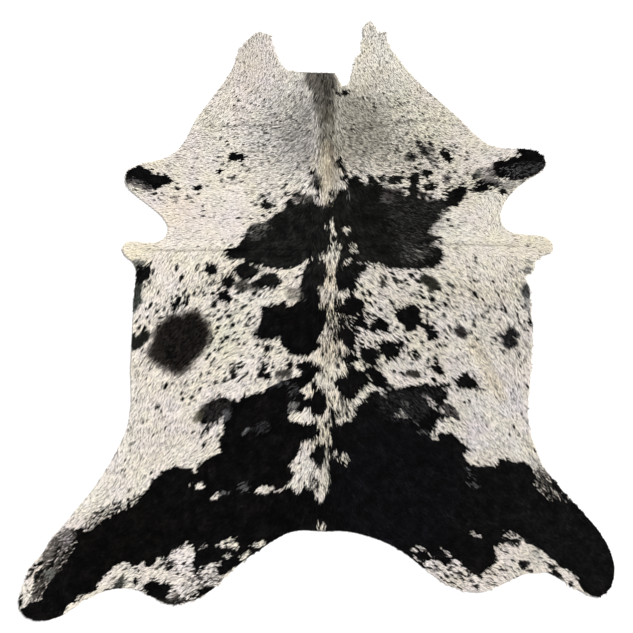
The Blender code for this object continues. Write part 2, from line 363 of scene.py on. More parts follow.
RIGHT_FLANK_MARKS = marks_of("""
tan streak of the right flank: tint 4 .4 216,202,174: 470,338 480,342 490,360 502,384 507,400 499,402
489,386 478,366 467,348
smudge below the saddle: tint 1.2 .95 42,41,35: 421,276 424,273.5 428,275.5 433,276.5 435,279 438,281.5
440,284 439,287 443,288.5 440,291 436,290 435,294 431,293.5 428,289.5 430,287 426,286 421,283
right flank's star: black 1 1: 396,312 402,309 406,306.5 413,305 417,308 421,310 421,313 419,316 421.5,319
421,323 427,325 432,327 434.5,329 433,331 438,332 439,337 437,339 435,338 434,341 431,342 429,338 429,333
427,329 420,326 417,328 414,331 410,332.5 407.5,331 406,325 400,322 397,318
brown smudge on the right flank: tint 1.2 .95 44,40,40: 455,329 459,326 463,327 465,331 468,333 468,337
466,340 463,339 458,337 455,333
spot on the right flank: black .8 .9: 413,350 418,351 418,354 416,357 413,355 410,354
right flank dash: black .8 1: 431,367 434,366 437,368.5 436,364 439,362 440,366 442,368 442,371 444,373
443.5,376 440,375.5 437,372 433,370
brown dash on the right flank: tint 1.1 .9 46,43,38: 402,372.5 405,374 409,371 413,370 418,371 421,374
421.5,377 417,379.5 412,377 406,376.5 402,375
right flank's arrow: black 1 1: 452.5,378 455,379 457,382 460,380 462,378 462,374.5 465,373 468,376 470,379
475,380 480,390 475,388 466,388 461,388 457,384
small spot above the rump: black .8 1: 443,386 446,384 450,385 449,388 445,388
right flank's far smudge: tint 2 .93 22,21,22: 500,333 504,335 506,332 508,330 509,327 512,328 515,331
519,334 520,338 516,339 518,342 517,346 514,349 508,349 504,346 502,343 504,340 500,337
right rim smudge: tint 1.6 .85 58,58,58: 523,284 528,284 530,288 530,298 525,298 522,296 521,291 523,287
right rim grey: tint 2 .4 110,110,108: 524,298 530,298 531,313 528,313 523,306
grey notch tuft one: tint 1.5 .5 110,110,105: 528,260 533,260 533,264 528,264
grey notch tuft two: tint 1.2 .75 80,80,78: 527,268 532,268 531,273 527,273
grey notch tuft three: tint 1.2 .5 100,100,98: 521,269 526,270 526,273 521,272
rim dash: black .8 .85: 530,320 533,320 533,327 531,326
""")

UPPER_RIGHT_MARKS = marks_of("""
bean by the mane: black .8 1: 336,162 338,160 340,158.5 342,160 343,165 346,170 345,173 343,172 341,168
337,169 335,166
dark blot by the mane: black 1.2 .85: 341,179 344,176 347,175 348,181 345,182
small blot by the mane: black .8 .9: 344,189 347,190 347,194 344,192
drop by the mane: black .7 1: 336,200 337,196 339,194 341,197 341,201 338,202
tuft of the right saddle: black .8 .95: 369,177 371,175 374,177 376,181 378,184 371,184 369,181
right saddle's ear: black .8 .95: 348,185 350,180 354,178 358,176 361,179 360,184 356,187 350,190
small tuft of the right saddle: black .8 .85: 379,179 382,176 385,176 386,181 382,183
right saddle's ragged top: tint 2 .75 62,58,56: 384,189 396,186 410,190 420,190 432,196 436,201 420,202
400,200 388,198
black of the ragged top: black 1.5 .7: 392,194 400,192 405,196 414,197 424,193 430,198 418,201 400,201
pale streak in the ragged top: white .7 .8: 419,197 430,198 430,200 421,199.5
right shoulder dash: black .8 1: 390,178 395,176 402,176 405,178 402,180 399,183 391,184
right shoulder's dark brow: black .8 .95: 407,180 411,177 416,175.5 419,176 414,179
right shoulder mask: black .8 1: 413,176 415,172 419,174 420,178 420,183 417,186 418,188 419,190 418,193
415,197 408,197 409,192 405,190 409,187 410,184 411,181 412,178
right shoulder button: black .8 1: 424,172 427,170 432,171 433,174 430,176 428,178 426,176 423,175
right shoulder bean: black .8 .95: 425,187 429,184.5 433,183.5 438,184 437.5,188 433,189.5 428,190
right shoulder's diagonal: black .7 .75: 418,141 420,142 423,147 425,150 423,151 420,147
right shoulder's knot: black 1 .75: 423,149 429,149 430,154 427,156 424,153
right shoulder's tick: black .8 .75: 429,142 432,142 433,146 430,147
right shoulder's grey cluster: tint 2.5 .45 110,106,102: 424,144 434,146 436,156 438,168 432,168 428,158
420,150
right shoulder's violet: tint 1.6 .55 84,78,80: 443,175 452,174 452,180 448,186 444,184
right shoulder's grey: tint 1.6 .75 78,75,70: 405,156 408,153 411,152.5 416,154 419,155 420,158 418,160
414,162 405,161
dark heart of the grey: black 1 .6: 408,154 415,154 416,157 410,158
right shoulder's drop: black .9 1: 442,151 444,150 446,153 449,150 450,154 451,157 453.5,160 452,162.5
449,161 445,159 445,157 442,154
white above the saddle: white .9 .9: 402,184.5 405,182 411,182 412,184 406,187 408,190 410,194 408,197
403,196 405,192 401,190
white between the saddle's streaks: white .9 .8: 391,184 398,184 399,188 394,190 390,189
grey step of the saddle: tint 1 .6 150,148,142: 383,181 389,180 389,187 384,188
""")

FORELEG_MARKS = marks_of("""
right forefoot: black 1.5 1: 519,147 530,146 538,148 545,152 552,160 548,167 541,171.5 532,175 526,178
518,180 511,179.5 508,176.5 500,177 496,173 494,169 495,164 498,161 505,161 510,160 514,157 520,157.5
524,154 520,152
right forefoot's mix: tint 3 .22 104,101,104: 499,169 505,165 513,166 520,163 530,165 541,163 545,166
539,171 530,175 520,178 511,177
right foreleg's ragged edge: black 1.2 .85: 477,181 486,179 494,180 503,183 500,187 493,185.5 487,188
484.5,192 478,190 472,190 475,186.5
right foreleg's smudge: tint 1.5 .7 72,74,68: 477,170 482,170 483.5,175 478,178.5 473,179.5 473,176
right foreleg's grey: tint 2 .6 104,99,98: 485,169 494,165 497,178 503,183 498,186 490,182 484,179 483,173
right foreleg's grey hem: tint 2 .5 150,147,143: 500,181 512,181 522,180 530,177 522,184 512,190 503,190
right foreleg's button: black .8 .85: 502.5,191 506,190.3 508,192 505,194 502,194
right forefoot's grey streaks: tint 2.5 .35 48,48,48: 522,160 544,160 542,170 524,176 512,172
right foreleg's speckle: roan 3 .25: 476,168 500,164 518,181 510,194 482,194 472,190
left forefoot: black 1.1 1: 122,176 129,171 137,166 148,170 153,175 160,177 163,174.5 167,176 170,179
173,181 166,183 161,184 157,188 149,190 147,187 143,183 136,182 124,181
left forefoot's grey: tint 1.5 .6 88,82,82: 125,180 134,178 146,183 152,188 146,190 138,187 130,186
left foreleg's speckle: roan 2.5 .5: 130,181 148,183 152,192 134,192
""")

UPPER_LEFT_MARKS = marks_of("""
left neck button: black .8 1: 228,160 230,155 232,153 235,152.5 238,154 241,154 243,156 243.5,159 240,161
237,160 232,160
left shoulder bean: black .7 1: 192,189 194,186.5 199,185.5 199.5,189 199,190.5 196,190
left shoulder button: black .8 1: 261,207 263,203 265,200.5 268,203 271,204 272,207 270,209 264,209
left shoulder's dash: black .7 1: 215.5,173 218,171 222,169 223,170 220,172.5 217,173.5
left shoulder's knot: tint 1.2 .7 50,48,42: 229,178 232,176 235,177 235,179 231,180.5
tufts above the left saddle: tint 2.2 .65 74,70,70: 308,174 316,171 322,177 324,190 315,191 309,186 312,181
black of the tufts: black 1.6 .65: 315,180 320,179 323,184 323,190 317,191 314,187
black streak of the tufts: black 1.2 .6: 309,173 314,172 316,177 311,177
streaks above the left saddle: roan 2 .5: 286,192 296,192 304,195 312,194 316,203 302,204 292,198
dark mass above the left saddle: tint 1.6 .7 56,53,50: 293,194 298,192 303,196 312,197 315,203 300,204
292,200
black dash above the left saddle: black 1 .75: 291,194 297,193 301,196 294,198
black drop above the left saddle: black .8 .85: 314,196 318,195 320,199 316,200
""")

LEFT_FLANK_MARKS = marks_of("""
left flank's bean: black 1 1: 204,272 207,267 213,265.5 217,268 216,273 210,276
left flank's heart: black 1 1: 232,271 238,266 245,263.5 257,270 255,275 250,280 243,280 234,274
left flank's oval: black 1 1: 260,276 268,274 275,275 279,279 278,286 270,288 263,288 257,289 250,285
258,281
left flank's pear: black 1 1: 221,280 227,277 234,278 232,284 228,289 224,288
left flank's knot: black 1 1: 217,298 220,293 225,291 232,299 229,303 218,301
left flank's soft knot: tint 2 .7 48,46,42: 233,282 243,281 254,284 262,290 250,290 243,292 236,291
left flank's small bean: black .6 1: 169.5,305.5 171,303.5 173,302 174,303 173,306 171,308
left flank's second bean: black .6 1: 176,299 179,298 180.5,300.5 180,303 177.5,304 177,307 175.5,309
174,312 173,309 175.5,304 177,301.5
left flank's third bean: black .6 1: 186,298 189,297 188,300 187,303 188,304.5 186,306 183,306.5 182,305
185,303.5 186.5,301
left rim's upper patch: black 1.2 1: 136,267 139,266 146,266 149,268 150,271 149,274 148,278 147,280 143,282
141,285 136,284
left rim's upper tufts: tint 1.5 .7 90,90,86: 130,262 136,260 144,261 144,267 136,268 136,284 131,284
left rim's middle patch: tint 1.2 .9 46,50,46: 134,285 140,286 142,290 140,293 141,298 142,299 141,304
137,308 134,313 130,313 131,286
left rim's lower patch: tint 1.3 .95 26,27,24: 128,334 134,334 138,337 140,333 143,330 149,331 150,336
148,340 143,345 141,348 138,350 134,350 129,349
big smoke spot: tint 5 1 38,34,31: 158,326 164,322 168,317 172,315 177,315 180,317 183,316 187,313 192,311
197,312 202,318 207,324 210,333 209,340 205,347 200,354 193,361 189,368 182,373 175,375 168,371 160,368
152,362 147,356 148,350 152,343 154,335
big spot's core: black 4 .55: 170,322 176,320 181,322 188,317 196,317 200,323 205,332 203,342 197,350
190,358 184,364 174,366 166,360 160,352 158,342 162,332 166,325
""")

MIDDLE_MARKS = marks_of("""
column below the saddle: black 1.2 .95: 309,262 315,262 318,280 316,300 300,303 299,292 301,284 302,274
305,268
left middle patch: black 1 1: 261,309 264,307 277,305.5 283,302 286,306 290,308 299,302 299,296 304,290
304,278 308,266 312,262 322,265 323,280 319,290 320,300 318,308 324,306 326.5,312 324,325 320,336 317,340
321,346 313,352 308,357 300,356 290,355 284,348 280,345 280,339 276,337 270,341 259,339 251,336.5 251,333.5
258,333 258,330 261.5,320
left middle drop: black .8 1: 263,349 265,347 268,345 270,348 269,353 265,352
left middle's grey: tint 2.5 .5 90,86,80: 284,288 300,288 304,300 288,300
left loin dash: black .8 .95: 261,366 264,364.5 267,367 265,370 266.5,374 270,374 270,378 264,379.5 262,377
257.5,377.5 258.5,372 261,369.5
left loin's grey: tint 2 .8 50,47,44: 275,371 291,369 291,378 276,379
left loin's button: black .9 1: 286,365 291,363 291,369 287,369
left loin's slab: black .9 1: 296,364 303,365 303,371 296,370
left loin's column: black 1 1: 303,362 318,364 323,368 324,375 318,372 314,376 308,385 300,388
""")

RIGHT_HIND_MARKS = marks_of("""
right rump and hind leg: black .9 1: 329,424 341,425 350,423 355,417 359,408 362,403 372,393 378,391 384,394
388,391 392,388 397,391 404,388 412,387 418,387 422,385 428,384.5 432,387 438,387 441,386 444,391 448,395
446,399 440,401 444,403 452,406 456,410 459,416 460,420 457,421 453,416 446,419 441,416 439,419 437,422
434,430 439,435 446,435 452,434 456,437 462,444 469,450 473,453 463,453 467,462 471,467 486,467 495,467
498,469 499,464 500,459 503,461 508,458 510,462 513,465 518,464 524,463 529,466 532,470 535,478 534,486
545,499 553,480 575,496 625,560 615,605 598,604 590,594 585,589 578,577 570,571 561,565 552,558 541,549
533,545 529,544 525,540 515,541 505,543 501,544 497,546 492,547 496,551 498,561 491,567 484,572 482,577
478,575 470,573 466,567 461,561 455,559 451,560 449,566 446,566 441,561 436,560 428,560 424,564 427,570
415,564 380,545 328,536
right hind white: white 1.8 .85: 534,468 541,466 548,473 556,482 560,490 571,502 566,505 560,500 552,501
545,499 541,492 537,486 535,476
right hind mix: roan 2 .8: 534,468 541,466 548,473 556,482 560,490 571,502 566,505 560,500 552,501 545,499
541,492 537,486 535,476
right hind dark hair: black 3 .6: 534,474 550,478 571,500 564,506 545,500 536,488
black rim of the right thigh: black 1.2 .9: 554,479 574,498 575,506 566,500 560,493
white of the right thigh: white 1 .5: 553,489 557,490 558,496 555,497
grey above the right thigh: tint 4 .35 150,148,144: 530,456 541,460 545,472 534,472
right rump's mottle: tint 5 .42 47,46,47: 384,390 400,392 430,389 444,392 446,398 430,400 432,410 420,420
396,422 380,414 376,400
right rump's hook: white .6 .8: 380,389 382,392 384,396 388,397 386,398.5 382,396.5 379,393
right rump's curl: white .8 .6: 422,396 426,395.5 430,398 435,400 436,404 434,408 439,410 436,411 431,409
429,404 428,400
right rump's fringe: tint 2 .6 108,102,100: 441,406 446,404 452,406 458,412 459,420 452,416 446,417 441,414
white in the right rump's fringe: white 1 .75: 440,408 445,409 444,414 440,413
right rump's wisp: white 1 .55: 396,418 399,415 401,411 400,409 403,410 406,414 409,415 411,418.5 407,419
402,418
right rump's grey cloud: tint 1.5 .5 90,88,84: 404,402 410,402 409,408 403,407
right rump's grey thread: tint 1.4 .45 90,90,90: 413,421 418,423 421,429 426,432 432,431 432,435 424,435
417,433 419,428
right rump's notch: white 1 .65: 432,431 436,432 439,437 439,440 434,440 431,436
right hind's white speck: white .7 .6: 469,449 474,452 471,454 467,452
right haunch's spot: black .8 1: 520,562 524,562 527,561 529,565 528,569 524,570 521,567
right haunch's rim spot: black 1 1: 551,575 554,571 557,571 562,577 560,580 555,579
right haunch's far spot: black .7 1: 569,582 572,582 574,586 570,587
right haunch's streak one: white .7 .7: 411,549 414,547.5 418,549.5 419,553 416,553.5 412,551
right haunch's streak two: white .6 .65: 417,545.5 421,546 425,549 427,552.5 422,551 418,548
right haunch's streak three: white .6 .7: 428,551.5 431,552.5 436,557.5 434,558.5 430,555.5
right haunch's streak four: white .6 .6: 440,547.5 444,548.5 448,551 452,554 450,556 450.5,560 448,558
447,554 443,551
right haunch's streak five: white .7 .5: 414,556 418,557.5 425,563.5 423,565.5 417,560
right haunch's grey: white .8 .65: 471,534 475,532 477,534.5 481,534.5 485,539 482,540.5 478,538 473,537
right haunch's grey edge: white 1.5 .4: 503,532 512,530 520,535 526,540 520,545 512,544 505,540
knots of the right haunch: black 1 .8: 509,541 513,540 520,543 520,546 513,546
grey of the right haunch: tint 4 .3 160,160,152: 527,549 538,548 548,562 540,566 528,560
right rump's upper wisp: tint 2.5 .26 92,92,96: 466,466 471,465 476,477 480,488 475,489 466,484 470,478
""")

LEFT_HIND_MARKS = marks_of("""
left rump and hind leg: black .9 1: 300,378 288,380 280,383 272,387 264,390.5 267,392 262,394 256,395
250,396 248,398 241,398 240,402 237,404 234,402 228,400 223,398 219,399 215,400 210,402 205,406 201,411
198,416 200,421 203,425 207,422 214,424 220,420 222,424 223,430 226,433 222,436 218,442 221,453 206,461
197,468 195,476 191,470 181,468 176,467 163,472 152,483 145,494 133,500 112,506 101,510 94,514 88,521 80,528
74,533 76,537 71,545 70,553 66,562 58,573 52,580 44,588 41,598 30,603 24,608 12,622 60,622 66,604 74,603
77,599 82,597 90,592 96,590 96,583 100,580 103,576 107,572 112,568 117,564 122,562 126,561 131,566 138,564
144,561 146,565 149,567 152,565 157,557 164,557 173,553 182,547 190,544 195,552 194,558 191,565 194,568
199,567 203,566 208,563 213,562 216,564 219,561 222,558 221,562 216,568 220,576 226,573 236,568 240,566
243,560 262,550 290,536 332,536 332,376
left hind grey: white 1.6 .97: 60,530 68,529 78,534 74,542 71,553 66,563 58,574 46,586 41,599 30,602 30,590
34,580 38,566 42,553 50,540
left hind roan: roan 2 .9: 60,530 68,529 78,534 74,542 71,553 66,563 58,574 46,586 41,599 30,602 30,590
34,580 38,566 42,553 50,540
left hind dark hair: black 3 .5: 62,536 70,530 78,534 74,542 71,553 66,563 58,574 46,588 41,599 35,600
38,586 46,572 54,554
pale top of the left hind roan: tint 2.5 .4 136,130,132: 60,534 68,531 74,536 68,548 58,546
grey smear of the left hind foot: tint 1.6 .8 98,100,95: 43,571 50,569 55,573 53,580 46,580
dark knot of the left hind foot: black .8 .9: 33,575 36,571 39,573 38,578 35,580
dark line of the left hind foot: black .8 .7: 38,571 44,568 51,566 52,568 45,571 39,574
dark edge of the left hind foot: black .6 .8: 27,579 33,569 34,566 42,562 41,564 35,568 29,580 22,602 20,610
17,610
white arc of the left hind foot: white .6 .85: 31,573 36,568 43,565 44,567 38,570 33,575
white rim of the left hind foot: white .8 .97: 29,575 33,577 35,583 31,588 30,594 29,600 26,605 22,606
22,596 25,584
white speck of the left hind foot: white .6 .8: 32,602 35,599.5 38,600 35,602.5
white underside of the left hind leg: white 1 .75: 75,599 79,595 88,594 96,590.5 103,589 102,593 90,600
76,606
brown fringe of the left rump: tint 2 .7 72,68,55: 192,422 195,415 199,411 203,408 203,416 200,424
left rump's mottle: tint 2.5 .6 50,47,46: 198,408 212,401 230,400 232,408 226,420 204,422
left rump's ragged notch: roan 1.6 .6: 203,421 215,419 217,425 206,430
left rump's brown dash: black .7 .85: 201,434 203,430 207,427 208.5,429 205,433
left rump's grey spot: tint 1.2 .6 90,88,92: 219,418 222,411 229,409 229,420 223,421
white of the left rump: white 1 .9: 215,424 218,418 222,417 223,424 222,434 216,436
left rump's grey streaks: tint 1.2 .6 56,56,58: 268,389 276,384 284,381 291,382 284,386 276,389
left rump's grey: tint 2 .4 60,58,60: 287,384 297,383 297,398 289,398
left rump's pale streak: tint .7 .8 100,100,102: 240,436 243,431 247,429 249.5,430 246,433.5 242,437
left rump's faint streaks: tint 2.5 .5 50,50,52: 251,430 260,422 268,422 268,433 256,434
left rump's ragged fringe: white 2.5 .4: 78,527 100,509 130,499 138,497 134,506 108,518 84,533
""")

LEFT_HIND_WHITES = marks_of("""
white fleck in the rump: white .8 1: 253,493 257,489 262,486.5 271,488 276,491 282,489 290,484 290,487
281,492 271,492 265,495.5
white dash in the left rump: white .8 1: 195,485 200,483 204,487 201,490 195,490
small white dash in the left rump: white .7 1: 188,484 190.5,483.5 190,487 188,487
lower white dash in the left rump: white .9 .8: 210,499 213,495 219,494.5 217,499 213,501
faint streaks in the left rump: tint 1 .8 96,96,96: 219,493 229,492.5 229,495 219,496
faint smudge in the left rump: tint 1.4 .65 84,84,86: 238,485 246,482 249,489 242,496 239,490
left haunch's upper white: white .9 .7: 212,545 218,543.5 222,541 227,538.5 232,538.5 236,543 238,547
241,550 236,551.5 231,548 227,547 223,549.5 218,546
left haunch's grey fringe: white 1.2 .5: 168,553 175,548 181,545 187,542 189,546 182,549 176,553
left haunch's upper streaks: white 1.5 .3: 199,547 207,546 206,550 199,551
left haunch's inner grey: white 1.2 .5: 221,557 225,554 230,556 226,561
left haunch's rim white: white .8 .85: 240,557 243,553.5 247,551.5 250,553 246,557.5 242,561.5 240,561
left haunch's far rim white: white 1 .7: 250,546 256,543 263,541 263,547 258,549 254,547
left haunch's long rim streak: white 1 .55: 220,578 226,573 234,568 240,563 240,566 232,572 224,577
""")

LEFT_HAUNCH_SPOTS = marks_of("""
left haunch's dark rim: black .9 .6: 160,597 167,602.5 175,604 184,602 198,596 214,588 213.5,586 198,593.5
184,599 175,600.5 168,599
left haunch's big spot: black .9 1: 143,586 147,585 150,582 154,581 158,583 160,586 163,584 168,583 170,587
169,591 167,594 165,598 163,600 158,600 153,598 148,595 145,591
left haunch's rim band: tint 1.2 .85 34,33,31: 162,600 168,598 172,600 177,601 182,600 181,606 174,607
164,606
left haunch's brown smudge: tint 1.2 .75 60,55,50: 172,595 176,593 179,596 178,600 174,600
left haunch's knot: black .9 .85: 163,564 165,560 169,560 170,563 174,564 173,567 169,568 169,571 166,571
165,567
left haunch's far spot: tint 1.4 .85 44,44,40: 113,584 117,581 119,578 122,576 125,579 123,582 124,586
121,590 115,591 112,588
left haunch's small spot: black .9 .85: 132,580 135,580 137,583 134,585
left haunch's column: black 1 .8: 194,570 197,567 201,568 201,573 199,578 195,579 193,576
left haunch's rim knot: black 1 .8: 195,593 198,589 202,587 206,588 211,588 214,590 209,594 203,596 197,597
left haunch's ticking: roan 3 .25: 184,578 222,572 222,582 196,598 180,600
""")

SPINE_MARKS = marks_of("""
dark behind the spine: black 1 .95: 313,261 327,250 339,250 341,262 341,292 336,300 336,312 342,325 340,343
320,345 314,330 313,300
faint streak of the spine: white .8 .5: 325,226 327.5,225.5 328,231 326,232
white sliver of the spine: white .7 .95: 329.5,219 333.5,217.5 333,222 334,228 336,235 335,238 332.5,234
330.5,229 329,224
thin line of the spine: white .5 .85: 329.5,235 331,235 334,247 332.5,247
upper strip of the spine: white .8 .97: 327.5,247 329.5,250 333,246.5 336,248 343.5,246.5 341,250 339.5,252
338.5,256 338,260 336.5,265 335.5,270 334.8,275 334.8,279 336,282 337,286 338.5,289 340,292 345,292
349.5,291.5 350,294 347,297 341,298.5 336,298 333.5,300 333.8,304 333,308 326.5,309 323,307 319,308
320.5,304 321.5,300 319.5,296 319,290 317,285 321,287 323.5,283.5 325.5,279.5 328,276 327,270 325.5,265
325,261.5 321,262 317,258.5 321,257 322.5,253.5 326.5,254 327,250
middle strip of the spine: white .8 .97: 326.5,308 333,308 335.5,312 338,318 341.5,324 339.5,330 337.5,335
338,340 342,343.5 346,345 348,349.5 344,353 341,358 343.5,362 348,368 347,371.5 341,375 336,378 335,382
324,382 323.5,372 322.5,367.5 316,363 312,362 316.5,359 314,354 319.5,350 322.5,346 318,341 317.5,339
321,335.5 323.3,329.5 324.5,324 325.6,318 326.5,312
lower strip of the spine: white .9 .97: 324,374 345,373 337,378 334,385 333,392 331,405 330,411 332,420
332,430 333,438 331,444 328,447 328,460 329,476 328,488 325,496 322,502 318,500 315,496 313,490 309,489
304,486 301,492 297,494 295,490 291,487 287,489 285,488 289,484 293,478 296,472 291,470 288,466 293,461
297,456 300,449 299,443 303,443 308,441 312,444 315,438 320,436 321,425 316,427 314,420 316,415 321,418
325,411 326,403 325,396 322,391 321,380
left V of the loin: white .8 .9: 298,391 304,386 310,384 313,378 317,374 323,373 323,389 316,392 313,397
311,402 308,398 303,401 304,395 300,393
dash in the V: black .7 .95: 313,383 316,381 317.5,385 315,390 311,391.5 312,387
dark mix beside the spine: black 2 .4: 332,312 337,314 342,322 341,330 338,336 339,350 341,358 336,356
332,340 331,325
dark wisps beside the spine: black 1.6 .75: 338,316 348,315 357,322 357,332 348,338 340,331
streaks of the spine: roan 2 .18: 321,262 337,262 337,306 343,330 343,372 322,378 321,340 326,310 321,290
streaks of the lower spine: roan 2.5 .15: 321,380 342,384 341,412 332,440 330,500 304,500 292,476 300,444
319,436
dark streaks above the tail: black 1.5 .55: 309,479 317,477 319,487 314,491 309,490
white patch of the left loin: white .8 1: 287,420 290,413 293,410.5 297,413 301,414 304,409.5 308,409.5
311,413 314,417 316,424 313,424 309,426.5 306,424 303,426 299,422 293,422
grey of the left loin: tint 1.5 .6 118,116,114: 288,405 294,402 298,406 296,411 289,412
white of the right loin: white .8 .95: 333,384 338,390 342,396 345,402 350,402 356,399 359,393 362,391
365,390 368,387 372,385 373,390 367,395 365,402 359,405 356,410 354,417 351,420 349,413 346,411 345,417
341,425 339,418 336,412 332,409 330,400
dashes of the right loin: roan 1.5 .3: 340,400 358,400 357,414 350,419 341,418
spine's teardrop: black .7 1: 320,387 322,391 325,396 326,403 325,410 322,414 316,413 311,411 309,407
312,402 313,396 316,392
black beside the lower spine: black .9 .85: 331,409 336,411 337,418 334,426 333,440 331,432 332,424
spine's lower drop: black .7 1: 316,444 325,445 325,452 324,458 322,464 319,467 316,464 313,460 310,457
311,453 315,451
grey tail column: tint 1.5 .4 150,148,136: 324,448 329,448 330,490 324,494
right of the tail one: white .9 .75: 329,456 331,452 335,449.5 338,453 337,457 333,457.5
right of the tail two: white 1 .5: 338,457 342,455 343,452 348,454 349,459 351,462 347,463 347,469 343,463
340,465
tail tuft: white 1.2 .5: 317,523 325,523 325,536 317,536
""")

# The row for the neck notch is painted shadow: a dark spot where the skin folds at the notch.
MANE_MARKS = marks_of("""
dark crest of the mane: tint 4 .85 86,81,73: 303,70 337,70 336,84 331,92 316,92 306,84
column of the mane: tint 6 .85 88,84,76: 313,84 336,84 335,112 330,122 321,122 315,110
olive column of the mane: tint 6 .7 122,117,103: 319,108 335,108 334,142 331,150 322,150 320,140
dark lines of the mane: tint 1.6 .5 60,54,46: 324,73 327,73 329,100 328,124 325,124 323,98
tan band of the mane: tint 3 .45 196,184,156: 321,142 331,142 331,160 333,180 332,204 322,204 320,170
mane's grey side: tint 3 .35 120,114,102: 329,140 338,140 340,170 338,200 332,200 331,170
streak of the mane: tint 2 .6 120,106,90: 327,142 331,143 333,152 334,162 331,162 328,152
lower streak of the mane: tint 3 .45 150,136,118: 326,163 332,163 333,180 327,180
tufts at the foot of the mane: black .8 .8: 329,192 331,190 333,191 334,195 332,198 329,196
under the neck notch: black .6 .95: 335,90 338,91.5 342,91 346,91 349,94 346,96 342,95 336,93
""")

PATCHES = (
    NECK_MARKS
    + SADDLE
    + SPINE_SIDE_MARKS
    + RIGHT_FLANK_MARKS
    + UPPER_RIGHT_MARKS
    + FORELEG_MARKS
    + UPPER_LEFT_MARKS
    + LEFT_FLANK_MARKS
    + MIDDLE_MARKS
    + RIGHT_HIND_MARKS
    + LEFT_HIND_MARKS
    + LEFT_HIND_WHITES
    + LEFT_HAUNCH_SPOTS
    + SPINE_MARKS
    + MANE_MARKS
)

